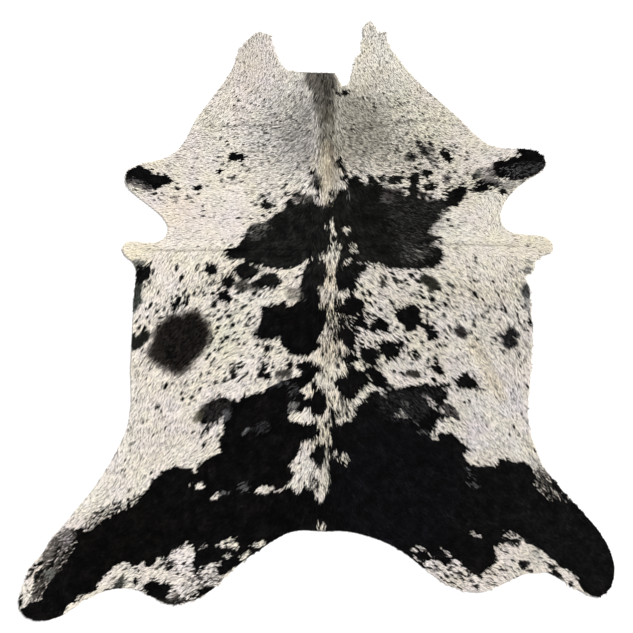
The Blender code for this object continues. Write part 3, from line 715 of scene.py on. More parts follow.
RIGHT_FLECKS = rows_of(Fleck, """
362,286,3.4,2.4 370,296,3.4,2.6 364,295,5,2 370,293,6,1.8 358,283,3,1.4,.9 393,274,5,1.8 386,277,3.4,1.4,.8
382,278,3.4,1.6,.8 386,279,3,1.6,.9 384,282,6,3,.6 384,285,7,3,.6 382,287,2.6,1.6,.9 396,280,8,4,.6
398,284,4,2.6,.8 401,271,2.6,1.6,.8 393,269,2,1.4,.6 375,268,3.4,2.4,.8 402,289,3,1.4,.5 399,292,3.4,1.2,.7
366,301,4,2,.8 372,305,6.4,2 376,303,2.8,1.6,.8 391,301,5,1.8,.8 393,304,3.2,2.4 381,310,5.4,2.4,.8
368,314,5.6,3,.7 374,316,4,3,.5 396,310,3,1.6,.9 362,312,4,2,.8 388,318,2.6,1.4,.5 392,324,2.4,2.4,.8
380,294,2.6,1.4,.6 398,328,3,2.2 391,333,2.4,1.6,.9 396,331,3,2,.8 359,332,5,3 353,328,3.6,2.8 412,276,5,3.6
421,271,3.4,2,.8 417,274,3,1.4,.6 407,280,3,1.6,.9 406,281,2.6,1.4,.8 408,284,3,1.8,.5 419,282,5,2.6,.9
416,281,3,1.4,.5 422,288,3.6,1.4,.6 402,282,4,3,.7 440,290,5,2.2 452,286,9,3.4,.5 454,293,4.6,1.2,.6
448,295,4.6,1.5 449,300,4.8,1.7 446,304,6.4,2.4 447,306,3,2 453,308,2.8,1.6,.9 458,308,2,1.4,.6
433,300,6.4,4.6 422,297,6,1.6,.8 424,298,5,1.6,.9 415,294,4.6,1.8,.7 422,292,3.6,1.4,.8 412,296,3,1.6,.5
417,298,3,1.2,.5 420,306,4.6,1.5 422,308,2.4,1.4 428,308,6,2.6,.8 432,310,3,2,.9 434,311,4,1.2,.8
438,309,6,1.8,.7 440,306,4,1.4,.6 423,313,2.4,1.4,.6 428,316,2.6,2.4,.9 423,320,1.8,1.8 428,322,2.8,2.2
434,323,3.4,1.8 437,325,2.6,1.4,.9 444,314,2.4,1.6,.9 445,317,3,1.8,.7 457,322,2.6,2 450,326,2.8,1.4,.9
464,316,4,1.6,.6 462,317,1.8,1.6,.7 466,320,3.4,1.6,.6 450,328,6,1.2,.8 445,331,3,2.5,.8 450,331,3,1.3,.8
355,351,9,2.4,.9 401,348,4,1.6,.9 408,348,3.4,2,.8 363,340,4,1.4,.8 361,344,6,2,.8 371,344,5,2,.8
375,342,2,1.6 366,335,2,1.2,.7 380,336,2,1.6,.6 384,342,4,2,.8 388,342,3,1.6,.8 395,338,3,1.2,.7
400,337,4,1.2,.8 399,340,3,1.4,.7 366,365,2.4,2.4,.8 378,367,4,1.8,.9 382,370,1.8,1.4,.9 382,366,3,1.4,.5
387,362,4,3,.6 395,372,4.4,2.4,.8 403,374,5.4,2.4 420,357,4.4,3 417,359,5,2,.6 413,360,5,1.6,.6
409,355,5,1.6,.5 405,332,2.8,1.6,.9 417,336,2,1.4,.5 408,340,6.6,2 423,343,3.4,1.6,.8 424,346,3,1,.5
440,344,3.4,1.3,.9 446,346,4.2,1.8 448,344,2.4,1,.5 430,350,2.4,2,.8 437,355,2,1.6,.6 470,334,4,1.6,.6
474,348,2.6,2.6,.8 458,359,4,1.4,.6 463,364,3.6,1.8,.6 451,362,2.4,1.4,.5 429,360,3,2.8 428,363,2.6,1.4,.6
436,359,6,2.8,.9 412,365,3,2.2 429,368,3,2,.5 426,374,2.8,2 434,380,5,3.2 436,382,5,3,.5 476,258,3.4,3,.8
476,262,4,2,.5 470,268,2,1.6,.5 475,281,3.4,1.6,.7 478,282,1.6,1.4,.6 471,291,3.2,1.8,.9 475,294,5.6,3
478,298,4,1.4,.9 483,300,5,1.8 506,282,2.8,1.6,.9 517,285,2.4,1.4,.5 496,292,3,1.2,.6 502,292,2.8,1.2,.7
499,296,2.8,1.8,.7 502,303,3,1.4,.5 486,306,3,1.4,.5 496,309,2.2,1.6,.7 502,310,3.4,2,.9 505,308,2.8,1.6,.9
506,312,5,1.8,.9 488,312,2.4,1.4,.8 486,313,2,1.2,.5 483,317,2.6,1.8,.8 476,317,3.4,1.2,.7
474,321,2.6,1.2,.7 475,326,5,2,.8 490,320,3,1.8,.7 500,320,2.6,1.6,.6 518,316,5.2,1.8 519,323,3,1.8,.7
521,325,2.6,1.2,.9 519,301,2.2,1.8,.6 526,306,3,1.6,.8 524,309,4,2,.5 529,314,3,1.4,.7 525,288,2.6,2,.9
497,334,2.4,1.6,.6 491,338,2.2,1.6,.6 496,339,3.2,2 496,342,2.2,1.6,.8 492,344,3,1.6,.5 478,340,4,2
475,348,3.6,2,.8 470,334,3,1.6,.7 504,352,4,3 519,354,3,2 404,143,1.8,1.8,.7 420,142,5.4,1.6,.8
431,144,4.4,2.6,.8 444,144,2,1.2,.5 440,145,1.6,1.2,.5 445,149,1.6,1.6,.5 402,152,4,1.8,.7 414,156,4,1.4
426,152,5,3,.8 423,157,2,1.6 433,150,6,3,.6 426,155,3,1.2,.8 421,164,4,2.6,.6 430,159,6,3,.6
435,161,2.4,2,.8 437,166,5,1.2,.8 439,168,6,1,.7 440,162,3,1.2,.6 416,168,4,2.6 418,170,3,2,.8
404,172,4,1.6,.8 402,178,5,3 410,178,6,1.4 450,172,2,1.6,.9 456,172,3.2,2 446,176,2.2,1.4,.8 451,178,2.2,1.6
448,179,5,2,.9 444,182,2.6,1.4,.8 469,174,2.4,1.6,.6 474,178,3,2.2,.8 448,189,4,1.4,.8 448,192,3.4,1.4,.9
444,194,2.4,1.4,.7 464,184,3.4,2,.9 433,194,2,1.2,.6 458,206,4,1.2,.8 402,194,4,1.4 405,188,4,1.8,.9
424,199,6,1.4 427,194,5,1.6,.9 432,198,4,1.6,.9 352,173,3,2,.8 362,172,4,2.4,.8 356,178,4,3,.6
358,182,4,2,.8 378,177,2,2,.8 384,176,2.6,2,.8 382,179,2,1.6,.8 397,172,2.4,1.4,.7 403,173,3,1.6,.8
358,199,3,2,.7 449,220,3.4,3 452,226,4,1.6 476,175,7,3,.6 482,182,7,2.4,.6 480,189,14,3,.6 506,192,4,2.4,.7
528,246,2.4,1.4,.6 338,198,4,3.4 344,169,3,1.6 346,178,3,3,.7 347,408,4,1.4,.9 350,412,5,1.4,.9
344,404,3,1.2,.8 342,399,4,2,.9 335,397,3,1.6,.8 352,405,3,1.2,.7 347,415,6,2,.8 338,403,3,1.2,.7
355,411,4,1.4,.7 341,411,3,1.4,.8 452,568,3,1.6,.8 448,577,4,2.4 445,575,3,1.4,.7 454,583,5,2,.9
450,570,5,1.6,.6 456,573,6,1.6,.8 461,573,3,1.4,.7 465,576,8,1.6,.7 463,579,6,1.4,.6 472,581,6,1.4,.6
478,588,4,2,.9 475,586,6,1.4,.6 456,565,5,1,.6 462,566,3,1.2,.6 437,566,4,1,.5 431,568,2,1.4,.6
434,563,3,1,.5 449,583,4,1.4,.7 442,578,4,2,.6 452,588,5,1.6,.6 460,588,4,1.4,.5 470,576,5,1.2,.5
489,583,5,1.2,.6 495,585,5,1,.6 487,574,3,1.2,.5 500,570,4,1.4,.6 507,570,3,1.6,.7 506,578,3,1.6,.5
493,572,3,1.2,.5 514,561,4,1.4,.6 512,567,4,1.2,.5 507,553,6,1,.6 503,551,5,1,.5 516,573,4,1,.5
532,571,4,1.4,.8 550,565,8,1.6,.9 554,568,6,2.4,.9 580,582,8,2,.9 583,587,8,2,.9 586,591,8,2.4,.9
562,567,6,1.6,.7 465,403,3,2,.9 470,402,4,1.6,.8 476,396,2.4,1.6,.5 453,423,3,1.6,.7 444,428,2,1.4,.5
491,458,2.4,2,.9 429,365,2,1.4,.5
""")

LEFT_FLECKS = rows_of(Fleck, """
206,264,4,1.6,.8 197,268,8,3,.5 202,272,3.5,1.8 224,269,2,1.4,.7 232,267,1.8,1.4,.7 222,274,2,2,.8
222,277,3.4,1.8,.9 227,274,4,1.8,.7 231,274,5,1.6,.8 206,283,3,1.8,.7 213,282,3.4,2,.9 210,284,3,1.4,.6
218,284,3.6,1.4,.7 211,286,2.6,1.6,.9 208,286,3,1.2,.6 198,288,2.6,2.2 202,288,3.4,1.2,.5 218,290,6,2.6,.8
212,294,5,2.6 200,292,2.4,1.6,.8 203,293,3.4,1.6,.8 204,296,2.4,1.4,.8 218,294,3,1.4,.5 254,294,6,3.2
242,289,3.4,2,.8 238,293,6,2.6,.8 242,292,4,2,.8 235,301,4.4,2,.8 250,301,3.4,2.6,.8 238,302,1.8,1,.5
213,306,7,4.4 214,302,4,1.8,.7 226,307,2.6,1.8,.8 236,306,2,1.2,.5 242,308,7,2.4,.7 235,310,3.4,1.6,.7
218,311,3.4,2.4 226,312,4.6,1.8,.9 228,317,5.4,3.6,.8 206,316,3,2 214,316,3,1.6,.7 210,316,2.6,2,.5
221,318,4.4,1.8,.5 217,320,3.6,1.4,.6 210,323,2,1.6,.8 249,319,5,2 248,314,3.6,1.4,.8 246,316,2,1.2,.7
254,317,2.6,1.8,.9 236,314,2,1.2,.5 230,322,3,1.2,.5 232,326,6,2.8 238,323,3.4,1.4,.8 217,328,4.6,2.2
245,324,2.4,1.2,.5 247,326,3.4,1.6,.5 251,325,2.4,1.4,.5 225,326,2.6,1.4,.5 261,307,2,1.4,.6 216,334,3,2
212,339,3.6,1.8,.9 210,342,4,1.4,.6 205,345,2,1.4,.7 226,338,4.4,3 220,340,3,1.4,.7 221,343,4.8,2,.9
224,340,3,1.4,.8 234,333,3.6,1.8,.9 238,339,2.6,1.6,.8 233,341,3,1.6,.6 238,345,2.8,1.8 244,345,3.4,1.2,.6
221,348,2.4,1.4,.6 218,349,2.6,1.2,.5 214,351,3.4,2,.8 209,355,4.8,2.4 206,359,4.4,2 214,359,3.4,2.2,.6
222,355,1.8,1.4,.5 225,354,2,1.4,.5 241,356,2.8,1.8,.7 226,358,3.4,1.4,.5 230,365,3.6,1.8,.9
233,364,2.6,1.8,.8 238,364,3.2,1.6,.9 238,368,4.4,2.4,.9 242,367,3.6,1.6,.8 233,368,3,1.4,.5
211,363,4,1.4,.5 210,366,3.6,1.6,.6 214,367,2.4,1.6,.6 219,368,4.8,1.2,.7 224,374,4,1.4,.6
200,375,3.2,1.8,.7 208,374,2.2,1.6,.5 232,372,7,4,.7 233,377,8,4.4,.9 225,378,4.4,2,.7 223,382,4.6,2.2,.8
227,381,4,1.4,.6 246,374,5,1.8,.8 242,378,8,1.6,.8 238,382,4,1.8,.8 215,382,3,2.2,.8 214,384,3,2.2
206,382,2.4,1.2,.6 203,383,2.2,1.2,.5 200,389,5,1.7,.9 209,386,3,1.2,.5 207,397,2.4,1.4,.5 218,396,6,2,.6
243,386,3.6,1.2,.5 256,346,4.6,3.2 266,349,5,4.4 265,357,3.4,1.8 269,358,3,1.6,.8 258,362,2.6,1.4,.5
252,364,3,1.4,.5 262,363,2.4,1.2,.6 280,353,4.4,1.7,.9 272,368,4.6,2.2,.9 272,364,2.6,2,.6 150,264,6,2,.7
152,274,3.5,2.6,.8 149,283,6,3,.5 182,304,3,1.6 158,293,4.6,1.4,.8 150,306,7,2.2,.9 156,306,3.6,1.4,.8
156,312,3.4,2.8 157,313,2,1.4,.7 145,310,2.6,1.6,.7 140,317,2.6,1.6,.8 147,318,4,2,.9 148,320,2,1.2,.6
154,316,4,1.2,.5 158,319,3.6,1.6,.8 162,318,2.6,1.4,.7 136,322,3,1.8,.8 149,323,3,1.8,.8 139,328,5,2.4,.8
144,329,4,2.4,.8 166,302,2.6,1.4,.6 171,298,2.8,1.4,.7 176,296,3,2.2 183,294,4,1.8 185,291,2.4,1.4,.8
178,290,2.4,1.2,.6 194,294,4,2.2 163,310,2.4,1.2,.6 165,310,2.4,1.2,.6 167,314,2.6,1.2,.6 196,309,2.4,2,.8
178,308,2.4,1.4,.6 182,310,2.2,1.4,.5 183,312,2.2,1.2,.5 170,262,2.4,1.4,.5 176,267,3,2,.9 176,270,4,2
181,278,5.6,3 180,282,3,1.2,.9 200,275,2,1.4,.5 202,279,2,1.4,.5 158,328,3,2.6,.8 142,351,4,1.8,.8
140,365,2.2,1.6,.6 148,364,2.2,1.8,.5 138,375,2.2,1.6,.6 146,379,3,1.4,.6 177,378,2.4,2,.6 165,387,7,3
184,384,3,1.4,.6 181,394,3.6,1.8,.8 185,394,2.6,1.8,.8 191,398,3.8,2.2,.9 182,400,4.6,1.8 194,392,3,1,.5
194,402,3,1.4,.5 188,405,2.2,1.6,.7 156,408,3.6,1.8,.7 158,407,2.4,1.6,.7 161,412,3.4,1.4,.5
148,410,2,1.4,.5 218,157,3.4,1.6,.8 216,161,1.8,1.4,.8 212,160,2.4,1.2,.5 222,157,2.6,1,.5 222,164,4,1.4,.5
226,166,3,1,.5 242,164,2,1.8,.7 240,182,3.2,1.8,.8 231,183,2.2,1.2,.6 227,178,4,1,.5 234,176,3,1.6,.7
207,186,2.8,1.4,.9 177,189,4.2,2.2,.9 175,187,2.4,1.4,.7 185,189,2,1.6,.5 187,196,2.4,2.4,.8
186,199,2,1.6,.5 190,198,4.4,1.4,.7 191,202,2.4,1.6,.8 174,196,2.4,1.4,.6 178,196,1.6,1.4,.5
175,202,2.6,1.4,.6 170,198,2.4,1.2,.5 153,194,4,2.4,.9 156,193,1.8,1.4,.7 161,193,2,1,.5 158,198,2.2,1.4,.6
160,200,2,1.4,.5 154,200,2.6,1.2,.5 202,206,2,1.6,.6 202,216,4,1.4,.8 213,217,2.4,1.2,.5 238,218,5,1.4,.8
224,201,1.8,1.6,.7 246,194,2,1.6,.6 196,158,2.8,1.2,.6 158,174,2,1.4,.8 247,171,4,2,.5 240,171,3,1.4,.5
261,166,2.4,1.6,.6 262,163,1.6,1.2,.5 258,146,3,2,.5 263,145,4,2,.6 252,143,3,1.4,.5 262,152,3,1.4,.6
268,140,3,2,.8 296,168,3.4,2.6,.8 308,158,3,1.6,.7 308,169,3,1.6,.8 319,155,2.6,2.6,.8 318,163,2.4,1.8,.6
282,175,4,1,.7 293,174,2.6,1.8,.5 270,185,2.8,1.8,.8 272,188,2.4,1.2,.5 285,185,2.8,2,.9 285,182,2,1.4,.6
282,188,2.8,2.4,.8 290,180,3,1.6,.5 303,182,2.4,1.6,.5 302,188,4,2,.6 308,188,3,1.4,.6 311,185,3,1.6,.8
285,194,3.4,2.6,.9 286,196,2.6,1.4,.7 281,198,3,1.2,.5 262,197,3.6,1.8,.8 268,194,4,1.4,.5
260,194,2.4,1.4,.5 258,200,2.4,1.2,.5 254,204,2.2,1.4,.5 305,194,4,1.4,.8 318,197,3,2.8 331,195,3,2,.5
298,193,4,2,.6 263,216,3.2,3 332,157,2.6,1.6 316,386,4,2 323,76,3,2,.8 322,81,3,2,.8 333,81,3,2,.7
322,101,3,2,.8 240,363,4,1.6,.6 296,278,4,2 203,446,5,3 210,438,4,1.8,.6 192,433,3,1.6,.6 183,433,2.6,1.6,.5
186,435,2,1.4,.5 106,590,5,1.4,.7 112,589,4,1.6,.7 191,597,5,1.6,.7 196,599,5,1.6,.8 187,601,4,1.6,.8
183,598,4,1.4,.5 207,593,5,1.8,.8 211,590,4,1.6,.8 188,580,3,1.4,.6 193,582,4,1.6,.6 200,580,3,1.2,.5
205,582,5,2,.8 209,579,4,1.6,.7 214,578,3,1.4,.6 217,581,3,1.2,.6 197,585,4,1.6,.6 190,586,3,1.2,.5
206,587,3,1.4,.6 212,585,3,1.2,.5 213,572,3,1.4,.6 208,569,3,1.4,.5 205,574,3,1.4,.6 183,564,3,2,.8
156,569,3,2,.6 114,578,4,1.4,.5 151,473,3,2,.8 128,491,3,2,.7 128,500,3.4,2.4,.8
""")

FLECKS = RIGHT_FLECKS + LEFT_FLECKS

MANE_STRIP = (
    "303,74 309,72 322,73 336,70 340,84 336,96 333,110 336,126 333,142 335,160 332,176 333,196 332,214 "
    "337,246 343,250 340,270 342,300 347,330 348,352 350,370 342,384 343,400 337,424 333,450 331,476 "
    "326,500 306,502 292,480 296,456 316,436 320,410 318,384 314,356 316,330 319,300 316,262 324,250 "
    "328,230 323,206 323,184 319,166 321,146 318,130 321,112 313,98 307,86")

TICKINGS = (
    Ticking("mane ticking", "305,75 334,75 334,150 320,150 318,110", 90, 3.4, 0.9),
    Ticking("left flank ticking",
        "200,282 262,280 262,300 256,330 262,350 276,366 262,386 214,396 196,372 214,336 204,306",
        40, 2.4, 1.1),
    Ticking("left belly ticking", "134,350 200,374 212,400 150,470 112,490", 26, 2.8, 1.1),
    Ticking("left shoulder ticking",
        "206,150 300,168 310,196 262,222 232,236 176,214 160,190", 20, 2.4, 1.1),
    Ticking("left neck ticking", "236,96 318,92 322,170 240,160 216,140", 190, 1.9, 0.8),
    Ticking("right neck ticking", "338,92 404,92 462,152 400,172 340,172", 230, 2, 0.8),
    Ticking("right shoulder ticking", "380,130 470,150 480,196 440,202 384,186", 40, 2.6, 1.2),
    Ticking("right flank ticking", "342,262 454,262 470,320 466,402 380,400 340,360", 60, 2.8, 1.2),
    Ticking("right side ticking", "456,262 524,268 522,440 470,420", 50, 2.6, 1.1),
    Ticking("right rim ticking", "510,300 534,300 540,470 516,440", 30, 3, 1.2),
    Ticking("spine ticking", "322,256 338,256 342,380 322,380", 60, 5, 1.3),
    Ticking("lower spine ticking", "322,380 344,400 332,440 328,498 304,498 292,470", 50, 4.6, 1.4),
    Ticking("left haunch ticking", "120,566 190,556 216,580 180,600 110,592", 50, 3, 1.3),
    Ticking("right haunch ticking", "430,566 560,556 560,574 480,588 440,580", 60, 3.4, 1.2),
)

CASTS = (
    Cast("left elbow's cream", 130, 249, 26, (236, 226, 207), 0.8),
    Cast("right elbow's cream", 540, 246, 24, (236, 228, 207), 0.7),
    Cast("left shoulder's rose", 176, 215, 34, (230, 218, 211), 0.6),
    Cast("left cheek's rose", 246, 66, 44, (204, 195, 188), 0.8),
    Cast("right cheek's olive", 378, 72, 44, (222, 218, 203), 0.7),
    Cast("right neck's cream", 415, 125, 36, (234, 229, 214), 0.8),
    Cast("left flank's straw", 222, 338, 34, (226, 222, 200), 0.5),
    Cast("right flank's straw", 432, 250, 50, (224, 220, 202), 0.4),
    Cast("left belly's rose", 160, 425, 70, (236, 228, 219), 0.8),
    Cast("right belly's rose", 500, 410, 80, (240, 233, 226), 0.9),
    Cast("left haunch's rose", 175, 582, 62, (233, 225, 219), 0.8),
    Cast("right haunch's rose", 465, 582, 66, (238, 228, 220), 0.8),
    Cast("left foot's rose", 50, 555, 40, (222, 208, 204), 0.7),
    Cast("mane's tan", 327, 162, 22, (216, 204, 180), 0.6),
    Cast("spine's tan upper", 331, 280, 16, (218, 206, 180), 0.7),
    Cast("spine's tan middle", 331, 310, 16, (218, 206, 180), 0.7),
    Cast("spine's tan lower", 331, 345, 18, (218, 206, 180), 0.7),
    Cast("spine's tan loin", 327, 400, 18, (222, 210, 186), 0.6),
    Cast("spine's tan rump", 323, 440, 18, (224, 212, 190), 0.6),
)

# The two saddle rows are painted sheen, the light that the black hair catches there. The other rows are the
# black hair's own tones.
DARK_TONES_AND_SHEEN = (
    Cast("left saddle's grey", 296, 240, 60, (24, 24, 23), 1),
    Cast("right saddle's grey", 395, 228, 66, (24, 24, 22), 1),
    Cast("left leg's brown", 110, 540, 60, (10, 9, 8), 0.8),
    Cast("right leg's grey", 560, 530, 70, (14, 14, 14), 0.8),
    Cast("right rump's blue", 395, 490, 80, (8, 9, 12), 0.8),
)

CALMS = rows_of(Area,
    "186,212,60,0.8 232,214,34,0.5 476,212,62,0.4 250,60,44,0.5 378,74,44,0.4 136,248,24,0.8 "
    "540,248,30,0.7 490,244,40,0.5 300,138,40,-0.7 366,142,40,-0.7 165,420,60,-0.5 "
    "160,446,34,-0.5 500,330,50,-0.5 502,420,62,-0.8 150,570,60,-0.4 470,575,60,-0.4 "
    "220,320,70,-0.2 420,330,80,-0.3")

SHAGS = rows_of(Area,
    "258,44,22,1 274,58,16,1 246,52,16,0.8 370,32,18,1 384,48,14,0.8 362,58,16,0.8 354,72,12,0.8 "
    "236,74,16,0.5 400,70,16,0.4 529,274,18,0.9 530,312,20,0.7 530,350,20,0.7 528,400,24,0.5 "
    "545,468,20,0.8 566,496,16,0.6 40,560,24,0.6 30,590,20,0.5 110,590,24,0.7 150,592,20,0.7 "
    "190,600,22,0.8 222,580,20,0.8 246,564,18,0.8 420,562,20,0.6 450,584,22,0.7 490,588,20,0.7 "
    "552,574,18,0.8 580,590,18,0.8 134,300,20,0.4 132,350,20,0.3 544,160,14,0.5 128,172,14,0.5")


# ----------------------------------------------------------------------------------------------
# Plane geometry and soft noise
# ----------------------------------------------------------------------------------------------


@dataclass(frozen=True)
class Chart:
    """The squared chart that the markings are drawn on, laid over the hide."""

    square: float = 3.7 * MM
    middle_x: float = 316.5
    middle_y: float = 321.0

    def places(self, points: Sequence) -> np.ndarray:
        """Turns chart points into metres on the hide.

        Args:
            points: Pairs of x and y in squares.

        Returns:
            One row of x and y in metres for each point.
        """
        x, y = np.array(points, float).reshape(-1, 2).T
        return np.stack(((x - self.middle_x) * self.square, (self.middle_y - y) * self.square), 1)

    def away(self, points: np.ndarray, spot: "Area | Cast") -> np.ndarray:
        """Measures how far points lie from the middle of a round area.

        Args:
            points: One row of x and y in metres for each point.
            spot: The area, which the chart gives.

        Returns:
            The distance of each point, in metres.
        """
        return np.linalg.norm(points - self.places([(spot.x, spot.y)])[0], axis=1)


CHART = Chart()


class PointSet:
    """Points on the hide, sorted so that those inside a box are found fast."""

    def __init__(self, points: np.ndarray) -> None:
        """Sorts the points by their y.

        Args:
            points: One row of x and y for each point.
        """
        self.points = points
        self.order = np.argsort(points[:, 1], kind="stable")
        self.rows = points[self.order, 1]

    def within(self, low: np.ndarray, high: np.ndarray) -> np.ndarray:
        """Finds the points inside an upright box.

        Args:
            low: The box's lowest x and y.
            high: The box's highest x and y.

        Returns:
            The points' numbers.
        """
        first, last = np.searchsorted(self.rows, (low[1], high[1]))
        found = self.order[first:last]
        x = self.points[found, 0]
        return found[(x >= low[0]) & (x <= high[0])]


class Ring:
    """A closed outline on the floor."""

    def __init__(self, corners: np.ndarray) -> None:
        """Keeps the corners, each with the one that follows it.

        Args:
            corners: One row of x and y for each corner.
        """
        self.corners = corners
        self.following = np.roll(corners, -1, axis=0)

    def outwards(self) -> np.ndarray:
        """Finds the way out at each corner of a ring that runs anticlockwise.

        Returns:
            One row of x and y for each corner, 1 long.
        """
        ahead = self.following - np.roll(self.corners, 1, axis=0)
        out = np.stack((ahead[:, 1], -ahead[:, 0]), 1)
        return out / np.linalg.norm(out, axis=1)[:, None]

    def corner_tree(self) -> KDTree:
        """Sorts the corners so that the nearest one to a place is found fast.

        Returns:
            The sorted corners.
        """
        tree = KDTree(len(self.corners))
        for number, (x, y) in enumerate(self.corners):
            tree.insert((x, y, 0), number)
        tree.balance()
        return tree

    def contains(self, points: np.ndarray) -> np.ndarray:
        """Says which points lie inside.

        Args:
            points: One row of x and y for each point.

        Returns:
            A truth value for each point.
        """
        order = np.argsort(points[:, 1], kind="stable")
        rows = points[order, 1]
        inside = np.zeros(len(points), bool)
        for a, b in zip(self.corners, self.following):
            first, last = np.searchsorted(rows, sorted((a[1], b[1])))
            if first == last:
                continue
            some = order[first:last]
            crossing = a[0] + (points[some, 1] - a[1]) / (b[1] - a[1]) * (b[0] - a[0])
            inside[some] ^= points[some, 0] < crossing
        return inside

    def depth(self, points: np.ndarray) -> np.ndarray:
        """Measures how far inside each point lies.

        Args:
            points: One row of x and y for each point.

        Returns:
            The distance to the outline, negative outside.
        """
        nearest = np.full(len(points), np.inf)
        for a, b in zip(self.corners, self.following):
            run = b - a
            share = np.clip((points - a) @ run / max(run @ run, TINY**2), 0, 1)
            away = points - (a + share[:, None] * run)
            nearest = np.minimum(nearest, (away * away).sum(1))
        return np.where(self.contains(points), 1.0, -1.0) * np.sqrt(nearest)


@dataclass(frozen=True)
class SoftNoise:
    """Smooth random hills of one size, the same on every run."""

    seed: int
    hill: float
    height: float = 1.0
    span: float = 2.6

    def at(self, points: np.ndarray) -> np.ndarray:
        """Reads how high the hills are, or how deep the hollows.

        Args:
            points: One row of x and y for each point.

        Returns:
            A value for each point, at most the hills' height and at least its opposite.
        """
        cells = int(self.span / self.hill) + 3
        lattice = np.random.default_rng(self.seed).uniform(-1, 1, (cells, cells))
        place = np.clip((points + self.span / 2) / self.hill, 0, cells - 2 - TINY)
        cell = place.astype(int)
        ease = place - cell
        ease = ease * ease * (3 - 2 * ease)
        x, y = cell[:, 0], cell[:, 1]
        low = lattice[x, y] * (1 - ease[:, 0]) + lattice[x + 1, y] * ease[:, 0]
        high = lattice[x, y + 1] * (1 - ease[:, 0]) + lattice[x + 1, y + 1] * ease[:, 0]
        return self.height * (low * (1 - ease[:, 1]) + high * ease[:, 1])


def hills(noises: Sequence[SoftNoise], points: np.ndarray) -> np.ndarray:
    """Adds up hills of several sizes."""
    return sum(noise.at(points) for noise in noises)


def hump(distance: np.ndarray, reach: float) -> np.ndarray:
    """A soft hump: 1 at its middle, and level with the ground at its reach."""
    return 0.5 + 0.5 * np.cos(np.pi * np.clip(distance / reach, 0, 1))


def smooth_step(value: np.ndarray) -> np.ndarray:
    """Eases a share from 0 to 1 and holds it there."""
    share = np.clip(value, 0, 1)
    return share * share * (3 - 2 * share)


def linear(colour: Colour) -> np.ndarray:
    """Turns a colour of 0 to 255 as a screen shows it into light."""
    share = np.array(colour, float) / 255
    return np.where(share <= 0.04045, share / 12.92, ((share + 0.055) / 1.055) ** 2.4)


# ----------------------------------------------------------------------------------------------
# The skin's shape
# ----------------------------------------------------------------------------------------------


@dataclass(frozen=True)
class Relief:
    """How far the underside of the skin stands off the floor."""

    folds: tuple[Fold, ...] = FOLDS
    lifts: tuple[Lift, ...] = LIFTS

    def over_fold(self, points: np.ndarray, fold: Fold) -> np.ndarray:
        """Height of one fold.

        Args:
            points: One row of x and y for each point.
            fold: The fold.

        Returns:
            The fold's height at each point, in metres.
        """
        knots = np.array(fold.crest) * MM
        away = np.full(len(points), np.inf)
        along, tailwards = np.zeros(len(points)), np.zeros(len(points), bool)
        passed = 0.0
        for a, b in zip(knots[:-1], knots[1:]):
            run = b - a
            length = math.hypot(*run)
            share = np.clip((points - a) @ run / length**2, 0, 1)
            offset = points - (a + share[:, None] * run)
            here = np.linalg.norm(offset, axis=1)
            nearer = here < away
            away = np.where(nearer, here, away)
            along = np.where(nearer, passed + share * length, along)
            tailwards = np.where(nearer, offset[:, 1] < 0, tailwards)
            passed += length
        to_end = np.minimum(along, passed - along)
        crest = fold.height * MM * (1 - hump(to_end, fold.fade * MM))
        reach = fold.half_width * MM * np.where(tailwards, fold.tail_side, 1.0)
        return crest * hump(away, reach)

    def heights(self, points: np.ndarray) -> np.ndarray:
        """Height of the underside.

        Args:
            points: One row of x and y for each point.

        Returns:
            The height of each point above the floor.
        """
        height = np.zeros(len(points))
        for fold in self.folds:
            height = np.maximum(height, self.over_fold(points, fold))
        for lift in self.lifts:
            away = np.linalg.norm(points - np.array((lift.x, lift.y)) * MM, axis=1)
            height = np.maximum(height, lift.height * MM * hump(away, lift.radius * MM))
        return height


@dataclass(frozen=True)
class Outline:
    """The cut edge of the hide, taken from the solid in the frame."""

    step: float = 6 * MM
    fray: float = 0.35 * MM
    fray_range: tuple[float, float] = (-1.0, 0.4)
    fray_seed: int = 11
    merge: float = 0.01 * MM
    underside_tilt: float = -0.7
    wall_tilt: float = 0.5

    def solid_rim(self) -> np.ndarray:
        """Reads the lower rim of the solid, where its underside meets its wall.

        Returns:
            The rim's corners in order, anticlockwise seen from above.
        """
        shape = bmesh.new()
        shape.from_mesh(bpy.data.objects[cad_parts[NODE].name].data)
        bmesh.ops.remove_doubles(shape, verts=shape.verts[:], dist=self.merge)
        shape.normal_update()
        links: dict[bmesh.types.BMVert, list[bmesh.types.BMVert]] = {}
        for edge in shape.edges:
            if len(edge.link_faces) != 2:
                continue
            tilts = sorted(face.normal.z for face in edge.link_faces)
            if tilts[0] < self.underside_tilt and abs(tilts[1]) < self.wall_tilt:
                for one, other in (edge.verts, reversed(edge.verts)):
                    links.setdefault(one, []).append(other)
        start = next(iter(links))
        walk = [start, links[start][0]]
        while walk[-1] is not start:
            nexts = [v for v in links[walk[-1]] if v is not walk[-2]]
            walk.append(nexts[0])
        rim = np.array([(v.co.x, v.co.y) for v in walk[:-1]])
        shape.free()
        x, y = rim[:, 0], rim[:, 1]
        area = (x * np.roll(y, -1) - np.roll(x, -1) * y).sum()
        return rim if area > 0 else rim[::-1]

    def ring(self) -> Ring:
        """Refines the rim into short steps with the small waver of a knife cut.

        Returns:
            The outline of the skin.
        """
        rim = self.solid_rim()
        points = []
        for a, b in zip(rim, np.roll(rim, -1, axis=0)):
            parts = max(1, round(math.hypot(*(b - a)) / self.step))
            points += [a + (b - a) * part / parts for part in range(parts)]
        ring = Ring(np.array(points))
        chance = np.random.default_rng(self.fray_seed)
        waver = chance.uniform(*self.fray_range, len(points)) * self.fray
        return Ring(ring.corners + ring.outwards() * waver[:, None])


